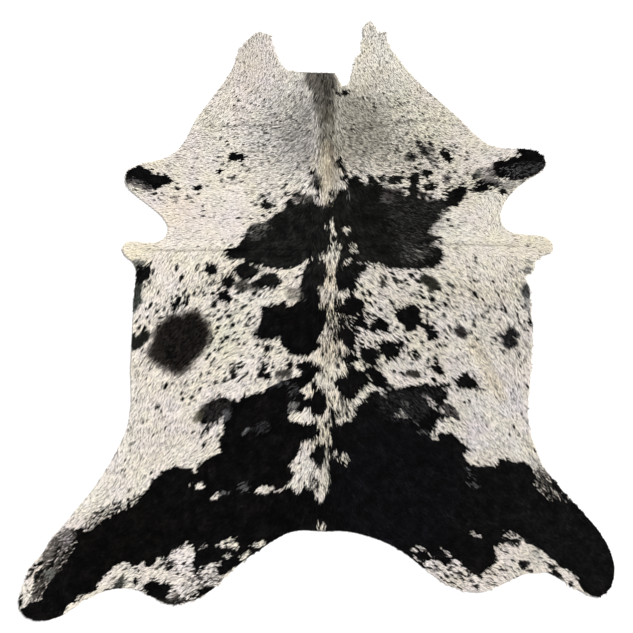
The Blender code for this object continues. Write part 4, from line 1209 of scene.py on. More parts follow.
def hex_grid(low: np.ndarray, high: np.ndarray, step: float, jitter: float, seed: int) -> np.ndarray:
    """Points in staggered rows over a box.

    Args:
        low: The box's lowest x and y.
        high: The box's highest x and y.
        step: The spacing of the points.
        jitter: How far a point may stray, as a share of the spacing.
        seed: Starts the random strays.

    Returns:
        One row of x and y for each point.
    """
    row_step = step * math.sqrt(0.75)
    rows = np.arange(int((high[1] - low[1]) / row_step) + 1)
    columns = np.arange(int((high[0] - low[0]) / step) + 1)
    x, y = np.meshgrid(columns * step + low[0], rows * row_step + low[1])
    x = x + (rows % 2)[:, None] * step / 2
    points = np.stack((x.ravel(), y.ravel()), 1)
    return points + np.random.default_rng(seed).uniform(-jitter, jitter, points.shape) * step


@dataclass(frozen=True)
class Body:
    """The hide's plan and relief, which the skin and the coat share."""

    outline: Ring
    relief: Relief = Relief()
    thickness: float = 2.5 * MM
    unevenness: float = 0.35 * MM
    grains: tuple[SoftNoise, ...] = (SoftNoise(21, 0.055), SoftNoise(22, 0.021, 0.5))
    slope_reach: float = 4 * MM

    def top(self, points: np.ndarray) -> np.ndarray:
        """Height of the skin's hair side.

        Args:
            points: One row of x and y for each point.

        Returns:
            The height of each point above the floor.
        """
        grain = hills(self.grains, points) * self.unevenness
        return self.relief.heights(points) + self.thickness + grain

    def slopes(self, points: np.ndarray) -> np.ndarray:
        """Slope of the hair side along x and y.

        Args:
            points: One row of x and y for each point.

        Returns:
            One row of two slopes for each point.
        """
        slopes = []
        for axis in np.eye(2):
            shift = axis * self.slope_reach
            slopes.append((self.top(points + shift) - self.top(points - shift)) / (2 * self.slope_reach))
        return np.stack(slopes, 1)


# ----------------------------------------------------------------------------------------------
# The coat's markings and the way its hair lies
# ----------------------------------------------------------------------------------------------


@dataclass(frozen=True)
class HairFlow:
    """The direction and the length of the hair all over the hide."""

    guides: tuple[Guide, ...] = GUIDES
    blend: float = 30 * MM
    nearness_power: float = -2.5
    wave_degrees: float = 9.0
    waves: tuple[SoftNoise, ...] = (SoftNoise(31, 0.045), SoftNoise(32, 0.017, 0.6))

    def at(self, points: np.ndarray) -> tuple[np.ndarray, np.ndarray]:
        """Blends the guides that lie around each point.

        Args:
            points: One row of x and y for each point.

        Returns:
            The hair's angle from +X in radians, and its length in metres.
        """
        places = CHART.places([(g.x, g.y) for g in self.guides])
        angles = np.radians([g.degrees for g in self.guides])
        lengths = np.array([g.length for g in self.guides]) * MM
        east, north, length, total = (np.zeros(len(points)) for _ in range(4))
        for place, angle, long in zip(places, angles, lengths):
            away = ((points - place) ** 2).sum(1) + self.blend**2
            weight = away**self.nearness_power
            east += weight * math.cos(angle)
            north += weight * math.sin(angle)
            length += weight * long
            total += weight
        waver = np.radians(self.wave_degrees) * hills(self.waves, points)
        return np.arctan2(north, east) + waver, length / total


@dataclass
class Markings:
    """How dark, roan and tinted the coat is at a set of points, each from 0 to 1, and the tint."""

    black: np.ndarray
    roan: np.ndarray
    tint: np.ndarray
    tone: np.ndarray

    @classmethod
    def none(cls, count: int) -> "Markings":
        """A coat without markings."""
        return cls(*(np.zeros(count) for _ in range(3)), np.zeros((count, 3)))

    def lay(self, near: np.ndarray, patch: Patch, cover: np.ndarray) -> None:
        """Lays one marking over those before it.

        Args:
            near: The numbers of the points it may touch.
            patch: The marking.
            cover: Its share at each of these points.
        """
        if patch.mark is Mark.BLACK:
            self.black[near] += (1 - self.black[near]) * cover
            self.tint[near] *= 1 - cover
        elif patch.mark is Mark.ROAN:
            self.roan[near] = np.maximum(self.roan[near], cover)
        elif patch.mark is Mark.TINT:
            old = self.tint[near] * (1 - cover)
            self.tint[near] = old + cover
            share = (cover / np.maximum(old + cover, TINY))[:, None]
            self.tone[near] += (linear(patch.tone) - self.tone[near]) * share
            self.black[near] *= 1 - cover
            self.roan[near] *= 1 - cover
        else:
            for layer in (self.black, self.roan, self.tint):
                layer[near] *= 1 - cover


@dataclass(frozen=True)
class CoatPattern:
    """The black and white pattern of the coat, as the chart gives it."""

    flow: HairFlow
    patches: tuple[Patch, ...] = PATCHES
    flecks: tuple[Fleck, ...] = FLECKS
    tickings: tuple[Ticking, ...] = TICKINGS
    tuft: float = 4.5 * MM
    tufts: SoftNoise = SoftNoise(33, 0.006)
    drift: float = 2.0 * MM
    drifts: tuple[SoftNoise, SoftNoise] = (SoftNoise(34, 0.01), SoftNoise(35, 0.01))
    stray: float = 2.6 * MM
    stray_across: float = 0.25
    swell: float = 0.8
    shrink: float = 0.15
    fleck_tone: Colour = (15, 14, 12)
    fleck_margin: float = 0.5
    fleck_fade: tuple[float, float] = (1.3, 0.7)
    faintest: float = 0.02
    tick_seed: int = 41
    tick_size: tuple[float, float] = (0.45, 1.25)
    tick_strength: tuple[float, float] = (0.45, 1.0)
    spatter_seed: int = 42
    spatter_gap: float = 6.0
    spatter_reach: float = 2.4
    spatter_length: float = 2.2
    spatter_width: float = 1.1
    spatter_size: tuple[float, float] = (0.7, 1.5)
    spatter_strength: tuple[float, float] = (0.4, 0.95)

    def ragged(self, points: np.ndarray, heading: np.ndarray, chance: np.random.Generator) -> np.ndarray:
        """Shifts the places where the chart is read, so that the markings end in tufts of hair.

        Args:
            points: One row of x and y for each lock.
            heading: The way each lock points.
            chance: The source of each lock's own stray.

        Returns:
            One row of x and y for each lock.
        """
        side = np.stack((-heading[:, 1], heading[:, 0]), 1)
        along = self.tufts.at(points) * self.tuft + chance.normal(0, self.stray, len(points))
        across = chance.normal(0, self.stray_across * self.stray, len(points))
        drift = np.stack([noise.at(points) for noise in self.drifts], 1)
        return points + heading * along[:, None] + side * across[:, None] + drift * self.drift

    def ticks(self) -> list[Fleck]:
        """Strews the small flecks of the ticking.

        Returns:
            The flecks.
        """
        chance = np.random.default_rng(self.tick_seed)
        strewn = []
        for ticking in self.tickings:
            edge = corners(ticking.edge)
            ring = Ring(edge)
            low, high = edge.min(0), edge.max(0)
            left = ticking.count
            while left:
                spot = chance.uniform(low, high)
                size, strength = chance.uniform(*self.tick_size), chance.uniform(*self.tick_strength)
                if ring.contains(spot[None])[0]:
                    strewn.append(Fleck(*spot, ticking.length * size, ticking.width * size, strength))
                    left -= 1
        return strewn

    def spatter(self) -> list[Fleck]:
        """Strews small flecks along the outlines of the black markings, so that these end raggedly.

        Returns:
            The flecks.
        """
        chance = np.random.default_rng(self.spatter_seed)
        strewn = []
        for patch in self.patches:
            if patch.mark is not Mark.BLACK:
                continue
            edge = corners(patch.edge)
            for a, b in zip(edge, np.roll(edge, -1, axis=0)):
                for _ in range(chance.poisson(np.linalg.norm(b - a) / self.spatter_gap)):
                    spot = a + (b - a) * chance.random() + chance.normal(0, self.spatter_reach, 2)
                    size = chance.uniform(*self.spatter_size)
                    length, width = self.spatter_length * size, self.spatter_width * size
                    strewn.append(Fleck(*spot, length, width, chance.uniform(*self.spatter_strength)))
        return strewn

    def at(self, points: np.ndarray, shifted: np.ndarray) -> Markings:
        """Lays every marking over the points, in the chart's order.

        Args:
            points: One row of x and y for each point, where the flecks are read.
            shifted: The same for the patches.

        Returns:
            The markings at the points.
        """
        known = PointSet(shifted)
        found = Markings.none(len(points))
        for patch in self.patches:
            edge = CHART.places(corners(patch.edge))
            soft = patch.feather * CHART.square
            near = known.within(edge.min(0) - soft, edge.max(0) + soft)
            if len(near):
                depth = Ring(edge).depth(shifted[near])
                if patch.mark is Mark.BLACK:
                    depth += self.swell * CHART.square
                elif patch.mark is Mark.WHITE:
                    depth -= self.shrink * CHART.square
                found.lay(near, patch, smooth_step(0.5 + 0.5 * depth / soft) * patch.strength)
        self.speckle(points, found)
        return found

    def speckle(self, points: np.ndarray, found: Markings) -> None:
        """Lays the flecks over the patches.

        Args:
            points: One row of x and y for each point.
            found: The markings so far, which are changed.
        """
        known = PointSet(points)
        flecks = [*self.flecks, *self.ticks(), *self.spatter()]
        places = CHART.places([(f.x, f.y) for f in flecks])
        angles, _ = self.flow.at(places)
        dark_spot = Patch("fleck", Mark.TINT, "", tone=self.fleck_tone)
        rim, core = self.fleck_fade
        for fleck, place, angle in zip(flecks, places, angles):
            reach = fleck.length * CHART.square
            near = known.within(place - reach, place + reach)
            offset = points[near] - place
            along = offset @ np.array((math.cos(angle), math.sin(angle)))
            across = offset @ np.array((-math.sin(angle), math.cos(angle)))
            length, width = fleck.length + self.fleck_margin, fleck.width + self.fleck_margin
            size = np.hypot(along / length, across / width) * 2 / CHART.square
            cover = smooth_step((rim - size) / (rim - core)) * fleck.strength
            clear = cover > self.faintest
            touched = near[clear]
            black = found.black[touched].copy()
            found.lay(touched, dark_spot, cover[clear])
            found.black[touched] = black


@dataclass(frozen=True)
class GrainAndShade:
    """How much lighter or darker each pale hair is than its neighbours, as shares of its light.

    Besides a random spread of tone, some hairs get painted shade, for the shadows that the locks cast on
    each other.
    """

    spread: float = 0.09
    half_shade_share: float = 0.28
    half_shade: tuple[float, float] = (0.35, 0.8)
    deep_share: float = 0.12
    deep: tuple[float, float] = (0.12, 0.35)
    mean: float = 0.9
    evening: float = 0.8
    limits: tuple[float, float] = (0.08, 1.25)

    def shades(self, rough: np.ndarray, chance: np.random.Generator) -> np.ndarray:
        """Picks each hair's shade. Some hairs get painted half shade, and a few painted deep shade.

        The painted shade stands in for the shadows between the locks.

        Args:
            rough: How rough the coat is at each hair, which makes the painted shade more common.
            chance: The source of each hair's own shade.

        Returns:
            A share for each hair, evened out so that rough places aren't much darker.
        """
        count = len(rough)
        shade = chance.normal(1.0, self.spread, count)
        luck = chance.random(count)
        is_half_shade = luck < self.half_shade_share * rough
        is_deep = luck > 1 - self.deep_share * rough
        # Painted shade: these hairs are darkened for the shadows that neighbouring locks cast on them.
        shade = np.where(is_half_shade, shade * chance.uniform(*self.half_shade, count), shade)
        shade = np.where(is_deep, shade * chance.uniform(*self.deep, count), shade)
        half_shade_loss, deep_loss = 1 - sum(self.half_shade) / 2, 1 - sum(self.deep) / 2
        expected = 1 - rough * (half_shade_loss * self.half_shade_share + deep_loss * self.deep_share)
        return np.clip(shade * (self.mean / expected) ** self.evening, *self.limits)


@dataclass(frozen=True)
class HairColours:
    """The colours of single hairs, 0 to 255 as a screen shows them, with painted shade on some pale hairs
    and painted sheen on the black ones.
    """

    ivory: Colour = (252, 244, 232)
    usual: Colour = (226, 219, 207)
    black: Colour = (8, 8, 9)
    brown_black: Colour = (22, 18, 15)
    grey: Colour = (112, 106, 99)
    casts: tuple[Cast, ...] = CASTS
    dark_tones_and_sheen: tuple[Cast, ...] = DARK_TONES_AND_SHEEN
    calms: tuple[Area, ...] = CALMS
    calmest: float = 0.8
    fade: float = 1.5
    warmth: tuple[SoftNoise, ...] = (SoftNoise(51, 0.07), SoftNoise(52, 0.028, 0.7))
    warm_tilt: Colour = (0.004, 0.002, -0.05)
    rose: SoftNoise = SoftNoise(53, 0.06)
    rose_tilt: Colour = (0.008, -0.01, 0.008)
    grain: GrainAndShade = GrainAndShade()
    brown_share: float = 0.25
    browning: SoftNoise = SoftNoise(54, 0.05, 0.5)
    dark_cast_gain: float = 1.6
    sheens: tuple[SoftNoise, ...] = (SoftNoise(55, 0.024, 0.6), SoftNoise(56, 0.009, 0.5))
    dark_spread: float = 0.4
    grey_range: tuple[float, float] = (0.08, 1.3)
    tint_spread: float = 0.16
    tint_limits: tuple[float, float] = (0.02, 0.95)
    tint_grain: float = 0.9
    tint_shade: tuple[float, float] = (0.05, 0.2)
    darkest_tone: float = 1e-5
    brightest: float = 0.96
    dark_below: float = 0.05

    def near(self, points: np.ndarray, area: Area | Cast) -> np.ndarray:
        """How near points are to a round area's middle: 1 there, and 0 beyond its faded edge."""
        return hump(CHART.away(points, area), area.radius * CHART.square * self.fade)

    def calm(self, points: np.ndarray) -> np.ndarray:
        """How smooth the hair lies, from -1 where it is rough to 1.

        Args:
            points: One row of x and y for each point.

        Returns:
            A share for each point.
        """
        share = np.zeros(len(points))
        for area in self.calms:
            share += self.near(points, area) * area.share
        return np.clip(share, -1, self.calmest)

    def pale(self, points: np.ndarray) -> np.ndarray:
        """Colours of the pale hair, without the grain.

        Args:
            points: One row of x and y for each hair.

        Returns:
            One row of light for each hair.
        """
        tone = np.repeat(linear(self.ivory)[None], len(points), 0)
        for cast in self.casts:
            share = self.near(points, cast) * cast.strength
            tone *= 1 + (linear(cast.colour) / linear(self.usual) - 1) * share[:, None]
        tone *= 1 + hills(self.warmth, points)[:, None] * np.array(self.warm_tilt)
        return tone * (1 + self.rose.at(points)[:, None] * np.array(self.rose_tilt))

    def dark(self, points: np.ndarray, chance: np.random.Generator) -> np.ndarray:
        """Colours of the black hairs, with painted sheen on the saddle and in soft streaks.

        Args:
            points: One row of x and y for each hair.
            chance: The source of each hair's own shade.

        Returns:
            One row of light for each hair.
        """
        count = len(points)
        brown = np.clip(self.brown_share + self.browning.at(points), 0, 1) * chance.random(count)
        tone = linear(self.black) + (linear(self.brown_black) - linear(self.black)) * brown[:, None]
        # Painted sheen: the saddle's rows lighten the black hair there.
        for cast in self.dark_tones_and_sheen:
            share = smooth_step(self.dark_cast_gain * self.near(points, cast)) * cast.strength
            tone += (linear(cast.colour) - tone) * share[:, None]
        # Painted sheen: soft streaks of lighter and darker black hair, with a random spread of tone for
        # each hair.
        sheen = hills(self.sheens, points) + chance.normal(0, self.dark_spread, count)
        return tone * np.exp(sheen)[:, None]

    def mixed(
        self, points: np.ndarray, found: Markings, chance: np.random.Generator
    ) -> tuple[np.ndarray, np.ndarray]:
        """Picks a colour for every hair from the markings at its place.

        Args:
            points: One row of x and y for each hair.
            found: The markings there.
            chance: The source of each hair's luck.

        Returns:
            One row of light for each hair, and whether it is a dark hair.
        """
        count = len(points)
        # The grain carries the painted shade between the locks, and there is more of it where the hair lies
        # rough.
        grain = self.grain.shades(1 - self.calm(points), chance)[:, None]
        pale, dark = self.pale(points) * grain, self.dark(points, chance)
        grey = linear(self.grey) * chance.uniform(*self.grey_range, (count, 1))
        is_grey = chance.random(count) < found.roan
        base = np.where(is_grey[:, None], grey, pale)
        least, most = self.tint_limits
        tint = found.tint / np.maximum(1 - found.black, least)
        luck = chance.normal(0, self.tint_spread, count) * (tint > least) * (tint < most)
        tint = np.clip(tint + luck, 0, 1)[:, None]
        own_shade = np.exp(chance.normal(*self.tint_shade, (count, 1)))
        # Tinted hairs take the same painted shade.
        tinted = np.maximum(found.tone, self.darkest_tone) * grain**self.tint_grain * own_shade
        tone = base ** (1 - tint) * tinted**tint
        is_black = chance.random(count) < found.black
        tone = np.where(is_black[:, None], dark, tone)
        tone *= np.minimum(1, self.brightest / tone.max(1))[:, None]
        return tone, tone.mean(1) < self.dark_below


# ----------------------------------------------------------------------------------------------
# Finishes
# ----------------------------------------------------------------------------------------------


class NodeBench:
    """Adds and wires the nodes of one tree."""

    def __init__(self, tree: bpy.types.NodeTree) -> None:
        """Keeps the tree that the nodes go into."""
        self.tree = tree

    def add(self, kind: str, values: dict | None = None, **settings: object) -> bpy.types.Node:
        """Adds a node.

        Args:
            kind: The node's type.
            values: Its inputs by name or number, each a value or another node's output.
            **settings: Its properties.

        Returns:
            The node.
        """
        node = self.tree.nodes.new(kind)
        for name, setting in settings.items():
            setattr(node, name, setting)
        self.feed(node, values or {})
        return node

    def feed(self, node: bpy.types.Node, values: dict) -> None:
        """Sets a node's inputs.

        Args:
            node: The node.
            values: Its inputs by name or number, each a value or another node's output.
        """
        for name, value in values.items():
            if isinstance(value, bpy.types.NodeSocket):
                self.tree.links.new(value, node.inputs[name])
            else:
                node.inputs[name].default_value = value

    def sockets(self, in_out: str, kind: str, *names: str) -> None:
        """Gives a group its inputs or its outputs of one kind."""
        for name in names:
            self.tree.interface.new_socket(name, in_out=in_out, socket_type="NodeSocket" + kind)

    def maths(self, operation: str, first: object, second: object = 0.0) -> bpy.types.NodeSocket:
        """Adds an operation on two numbers and returns its result."""
        return self.add("ShaderNodeMath", {0: first, 1: second}, operation=operation).outputs[0]

    def attribute(self, name: str, kind: str) -> bpy.types.NodeSocket:
        """Reads an attribute of the points in a Geometry Nodes tree and returns it."""
        return self.add("GeometryNodeInputNamedAttribute", {"Name": name}, data_type=kind).outputs[0]

    def graded(self, value: object, gain: float, base: float) -> bpy.types.NodeSocket:
        """Adds a value's straight-line grading and returns it."""
        return self.maths("ADD", self.maths("MULTIPLY", value, gain), base)

    def product(self, colour: object, light: object) -> bpy.types.NodeSocket:
        """Adds the product of a colour and a light and returns it."""
        return self.add("ShaderNodeVectorMath", {0: colour, 1: light}, operation="MULTIPLY").outputs[0]

    def mix(self, share: object, first: object, second: object) -> bpy.types.NodeSocket:
        """Adds a mix of two colours and returns it."""
        values = {"Factor": share, 6: first, 7: second}
        return self.add("ShaderNodeMix", values, data_type="RGBA").outputs[2]

    def bump(self, strength: float, depth: float, height: object) -> bpy.types.NodeSocket:
        """Adds bumps of a depth and returns their normal."""
        values = {"Strength": strength, "Distance": depth, "Height": height}
        return self.add("ShaderNodeBump", values).outputs["Normal"]

    def noise(self, place: object, scale: float, detail: float, roughness: float) -> bpy.types.Node:
        """Adds a noise texture at a place and returns its node."""
        values = {"Vector": place, "Scale": scale, "Detail": detail, "Roughness": roughness}
        return self.add("ShaderNodeTexNoise", values)


def fresh_material(name: str, shown: Colour) -> tuple[bpy.types.Material, NodeBench, bpy.types.Node]:
    """Makes a material with a Principled shader.

    Args:
        name: The material's name.
        shown: Its plain colour in a solid view.

    Returns:
        The material, a bench for its nodes, and its shader.
    """
    material = bpy.data.materials.new(name)
    material.use_nodes = True
    material.diffuse_color = (*linear(shown), 1.0)
    bench = NodeBench(material.node_tree)
    return material, bench, material.node_tree.nodes["Principled BSDF"]


class StrandGroup:
    """The fine strands inside a lock of hair, and painted shade at its root, as a shader group for every
    hair finish.
    """

    name = "hair_strands"
    strands_across = 3.6
    strands_along = 0.6
    lock_gap = 400.0
    root_falloff = 1.6

    def tree(self) -> bpy.types.ShaderNodeTree:
        """Builds the group once.

        Returns:
            The group, with a colour and a strand height as its results.
        """
        tree = bpy.data.node_groups.get(self.name)
        if tree:
            return tree
        tree = bpy.data.node_groups.new(self.name, "ShaderNodeTree")
        bench = NodeBench(tree)
        bench.sockets("INPUT", "Color", "Hair colour")
        bench.sockets("INPUT", "Float", "Strand contrast", "Root shade")
        bench.sockets("OUTPUT", "Color", "Colour")
        bench.sockets("OUTPUT", "Float", "Strand height")
        given = bench.add("NodeGroupInput")
        strand = bench.add("ShaderNodeAttribute", attribute_name="strand")
        lock = bench.add("ShaderNodeAttribute", attribute_name="lock")
        place = bench.add("ShaderNodeSeparateXYZ", {0: strand.outputs["Vector"]})
        across = bench.maths("MULTIPLY", place.outputs["X"], self.strands_across)
        along = bench.maths("MULTIPLY", place.outputs["Y"], self.strands_along)
        own = bench.maths("MULTIPLY", lock.outputs["Fac"], self.lock_gap)
        spot = bench.add("ShaderNodeCombineXYZ", {0: across, 1: along, 2: own})
        fibres = bench.noise(spot.outputs[0], scale=1.6, detail=2.0, roughness=0.6)
        centred = bench.maths("SUBTRACT", fibres.outputs["Fac"], 0.5)
        streak = bench.maths("MULTIPLY", centred, given.outputs["Strand contrast"])
        # Painted shade: the hair darkens towards its root, where the locks lying over it shade it.
        depth = bench.maths("SUBTRACT", 1.0, place.outputs["Y"])
        shade = bench.maths("POWER", depth, self.root_falloff)
        painted_shade = bench.maths("MULTIPLY", shade, given.outputs["Root shade"])
        light = bench.maths("SUBTRACT", bench.maths("ADD", streak, 1.0), painted_shade)
        shaded = bench.product(given.outputs["Hair colour"], light)
        bench.add("NodeGroupOutput", {"Colour": shaded, "Strand height": fibres.outputs["Fac"]})
        return tree


@dataclass(frozen=True)
class HairFinish:
    """The sheen, the fine strands and the painted root shade of one kind of hair."""

    name: str
    shown: Colour
    roughness: float
    specular: float
    contrast: float
    root_shade: float

    def material(self) -> bpy.types.Material:
        """Builds the finish, which takes its colour from each hair's own.

        Returns:
            The material.
        """
        material, bench, shader = fresh_material(self.name, self.shown)
        own = bench.add("ShaderNodeAttribute", attribute_name="hair_colour").outputs["Color"]
        given = {"Hair colour": own, "Strand contrast": self.contrast, "Root shade": self.root_shade}
        strands = bench.add("ShaderNodeGroup", given, node_tree=StrandGroup().tree())
        bench.feed(shader, {
            "Base Color": strands.outputs["Colour"],
            "Normal": bench.bump(strength=0.7, depth=0.4 * MM, height=strands.outputs["Strand height"]),
            "Roughness": self.roughness,
            "Specular IOR Level": self.specular,
        })
        return material


PALE_HAIR = HairFinish(
    "pale_hair", shown=(232, 226, 214), roughness=0.62, specular=0.25, contrast=1.2, root_shade=0.34
)
DARK_HAIR = HairFinish(
    "dark_hair", shown=(20, 20, 20), roughness=0.6, specular=0.03, contrast=2.4, root_shade=0.3
)


@dataclass(frozen=True)
class UnderCoatFinish:
    """The dense short under-hair that shows between the locks, with the painted shade that the skin's
    colour carries.
    """

    name: str = "under_coat"
    shown: Colour = (170, 162, 150)
    roughness: float = 0.9
    specular: float = 0.1

    def material(self) -> bpy.types.Material:
        """Builds the finish from the colour that each point of the skin carries.

        Returns:
            The material.
        """
        material, bench, shader = fresh_material(self.name, self.shown)
        own = bench.add("ShaderNodeAttribute", attribute_name="hair_colour").outputs["Color"]
        place = bench.add("ShaderNodeTexCoord").outputs["Object"]
        fuzz = bench.noise(place, scale=620.0, detail=3.0, roughness=0.7).outputs["Fac"]
        light = bench.graded(fuzz, gain=0.7, base=0.4)
        bench.feed(shader, {
            "Base Color": bench.product(own, light),
            "Normal": bench.bump(strength=0.6, depth=0.6 * MM, height=fuzz),
            "Roughness": self.roughness,
            "Specular IOR Level": self.specular,
        })
        return material


@dataclass(frozen=True)
class SuedeFinish:
    """The flesh side of the skin: tan suede with cloudy dye, nap and faint vein marks."""

    name: str = "suede"
    tan: Colour = (190, 160, 126)
    pale: Colour = (214, 190, 158)
    worn: Colour = (152, 122, 92)
    roughness: float = 0.92
    specular: float = 0.15
    sheen: float = 0.15

    def material(self) -> bpy.types.Material:
        """Builds the finish.

        Returns:
            The material.
        """
        material, bench, shader = fresh_material(self.name, self.tan)
        place = bench.add("ShaderNodeTexCoord").outputs["Object"]
        cloud = bench.noise(place, scale=5.0, detail=4.0, roughness=0.55)
        nap = bench.noise(place, scale=420.0, detail=4.0, roughness=0.7).outputs["Fac"]
        brushed = bench.add("ShaderNodeMapping", {"Vector": place, "Scale": (1.0, 0.22, 1.0)}).outputs[0]
        streaks = bench.noise(brushed, scale=70.0, detail=3.0, roughness=0.6)
        bench.feed(streaks, {"Distortion": 0.6})
        strokes = streaks.outputs["Fac"]
        cells = {"Vector": cloud.outputs["Color"], "Scale": 9.0}
        veins = bench.add("ShaderNodeTexVoronoi", cells, feature="DISTANCE_TO_EDGE").outputs["Distance"]
        dye_share = {"Value": cloud.outputs["Fac"], "From Min": 0.35, "From Max": 0.65}
        dye = bench.add("ShaderNodeMapRange", dye_share).outputs[0]
        vein_share = {"Value": veins, "From Max": 0.03, "To Min": 0.45, "To Max": 0.0}
        vein = bench.add("ShaderNodeMapRange", vein_share).outputs[0]
        dyed = bench.mix(dye, (*linear(self.tan), 1), (*linear(self.pale), 1))
        veined = bench.mix(vein, dyed, (*linear(self.worn), 1))
        fine = bench.graded(nap, gain=0.5, base=0.62)
        light = bench.maths("ADD", fine, bench.maths("MULTIPLY", strokes, 0.25))
        height = bench.maths("ADD", nap, bench.maths("MULTIPLY", strokes, 1.2))
        bench.feed(shader, {
            "Base Color": bench.product(veined, light),
            "Normal": bench.bump(strength=0.5, depth=0.5 * MM, height=height),
            "Roughness": self.roughness,
            "Specular IOR Level": self.specular,
            "Sheen Weight": self.sheen,
        })
        return material


@dataclass(frozen=True)
class CutEdgeFinish:
    """The knife-cut rim of the skin, pale and fibrous."""

    name: str = "cut_edge"
    colour: Colour = (204, 190, 168)
    roughness: float = 0.85

    def material(self) -> bpy.types.Material:
        """Builds the finish.

        Returns:
            The material.
        """
        material, bench, shader = fresh_material(self.name, self.colour)
        place = bench.add("ShaderNodeTexCoord").outputs["Object"]
        layered = bench.add("ShaderNodeMapping", {"Vector": place, "Scale": (0.4, 0.4, 3.0)}).outputs[0]
        fibres = bench.noise(layered, scale=500.0, detail=3.0, roughness=0.65).outputs["Fac"]
        light = bench.graded(fibres, gain=0.6, base=0.6)
        base = bench.add("ShaderNodeRGB")
        base.outputs[0].default_value = (*linear(self.colour), 1)
        bench.feed(shader, {
            "Base Color": bench.product(base.outputs[0], light),
            "Normal": bench.bump(strength=0.5, depth=0.3 * MM, height=fibres),
            "Roughness": self.roughness,
        })
        return material


@dataclass(frozen=True)
class FloorFinish:
    """A plain matt floor."""

    name: str = "pale_floor"
    colour: Colour = (250, 250, 250)
    roughness: float = 0.95

    def material(self) -> bpy.types.Material:
        """Builds the finish.

        Returns:
            The material.
        """
        material, bench, shader = fresh_material(self.name, self.colour)
        bench.feed(shader, {
            "Base Color": (*linear(self.colour), 1),
            "Roughness": self.roughness,
            "Specular IOR Level": 0.0,
        })
        return material


# ----------------------------------------------------------------------------------------------
# The pieces
# ----------------------------------------------------------------------------------------------


def new_object(name: str, mesh: bpy.types.Mesh) -> bpy.types.Object:
    """Puts a mesh into the scene as an object at the origin.

    Args:
        name: The object's name.
        mesh: The mesh.

    Returns:
        The object.
    """
    made = bpy.data.objects.new(name, mesh)
    bpy.context.scene.collection.objects.link(made)
    return made


def plan_map(mesh: bpy.types.Mesh, span: float = 2.4) -> None:
    """Gives a mesh a flat map as seen from above.

    Args:
        mesh: The mesh.
        span: The width of the square that the map covers.
    """
    places = np.empty(len(mesh.vertices) * 3, np.float32)
    mesh.vertices.foreach_get("co", places)
    numbers = np.empty(len(mesh.loops), np.int32)
    mesh.loops.foreach_get("vertex_index", numbers)
    flat = places.reshape(-1, 3)[numbers, :2] / span + 0.5
    layer = mesh.uv_layers.new(name="OFBake")
    layer.data.foreach_set("uv", flat.ravel())


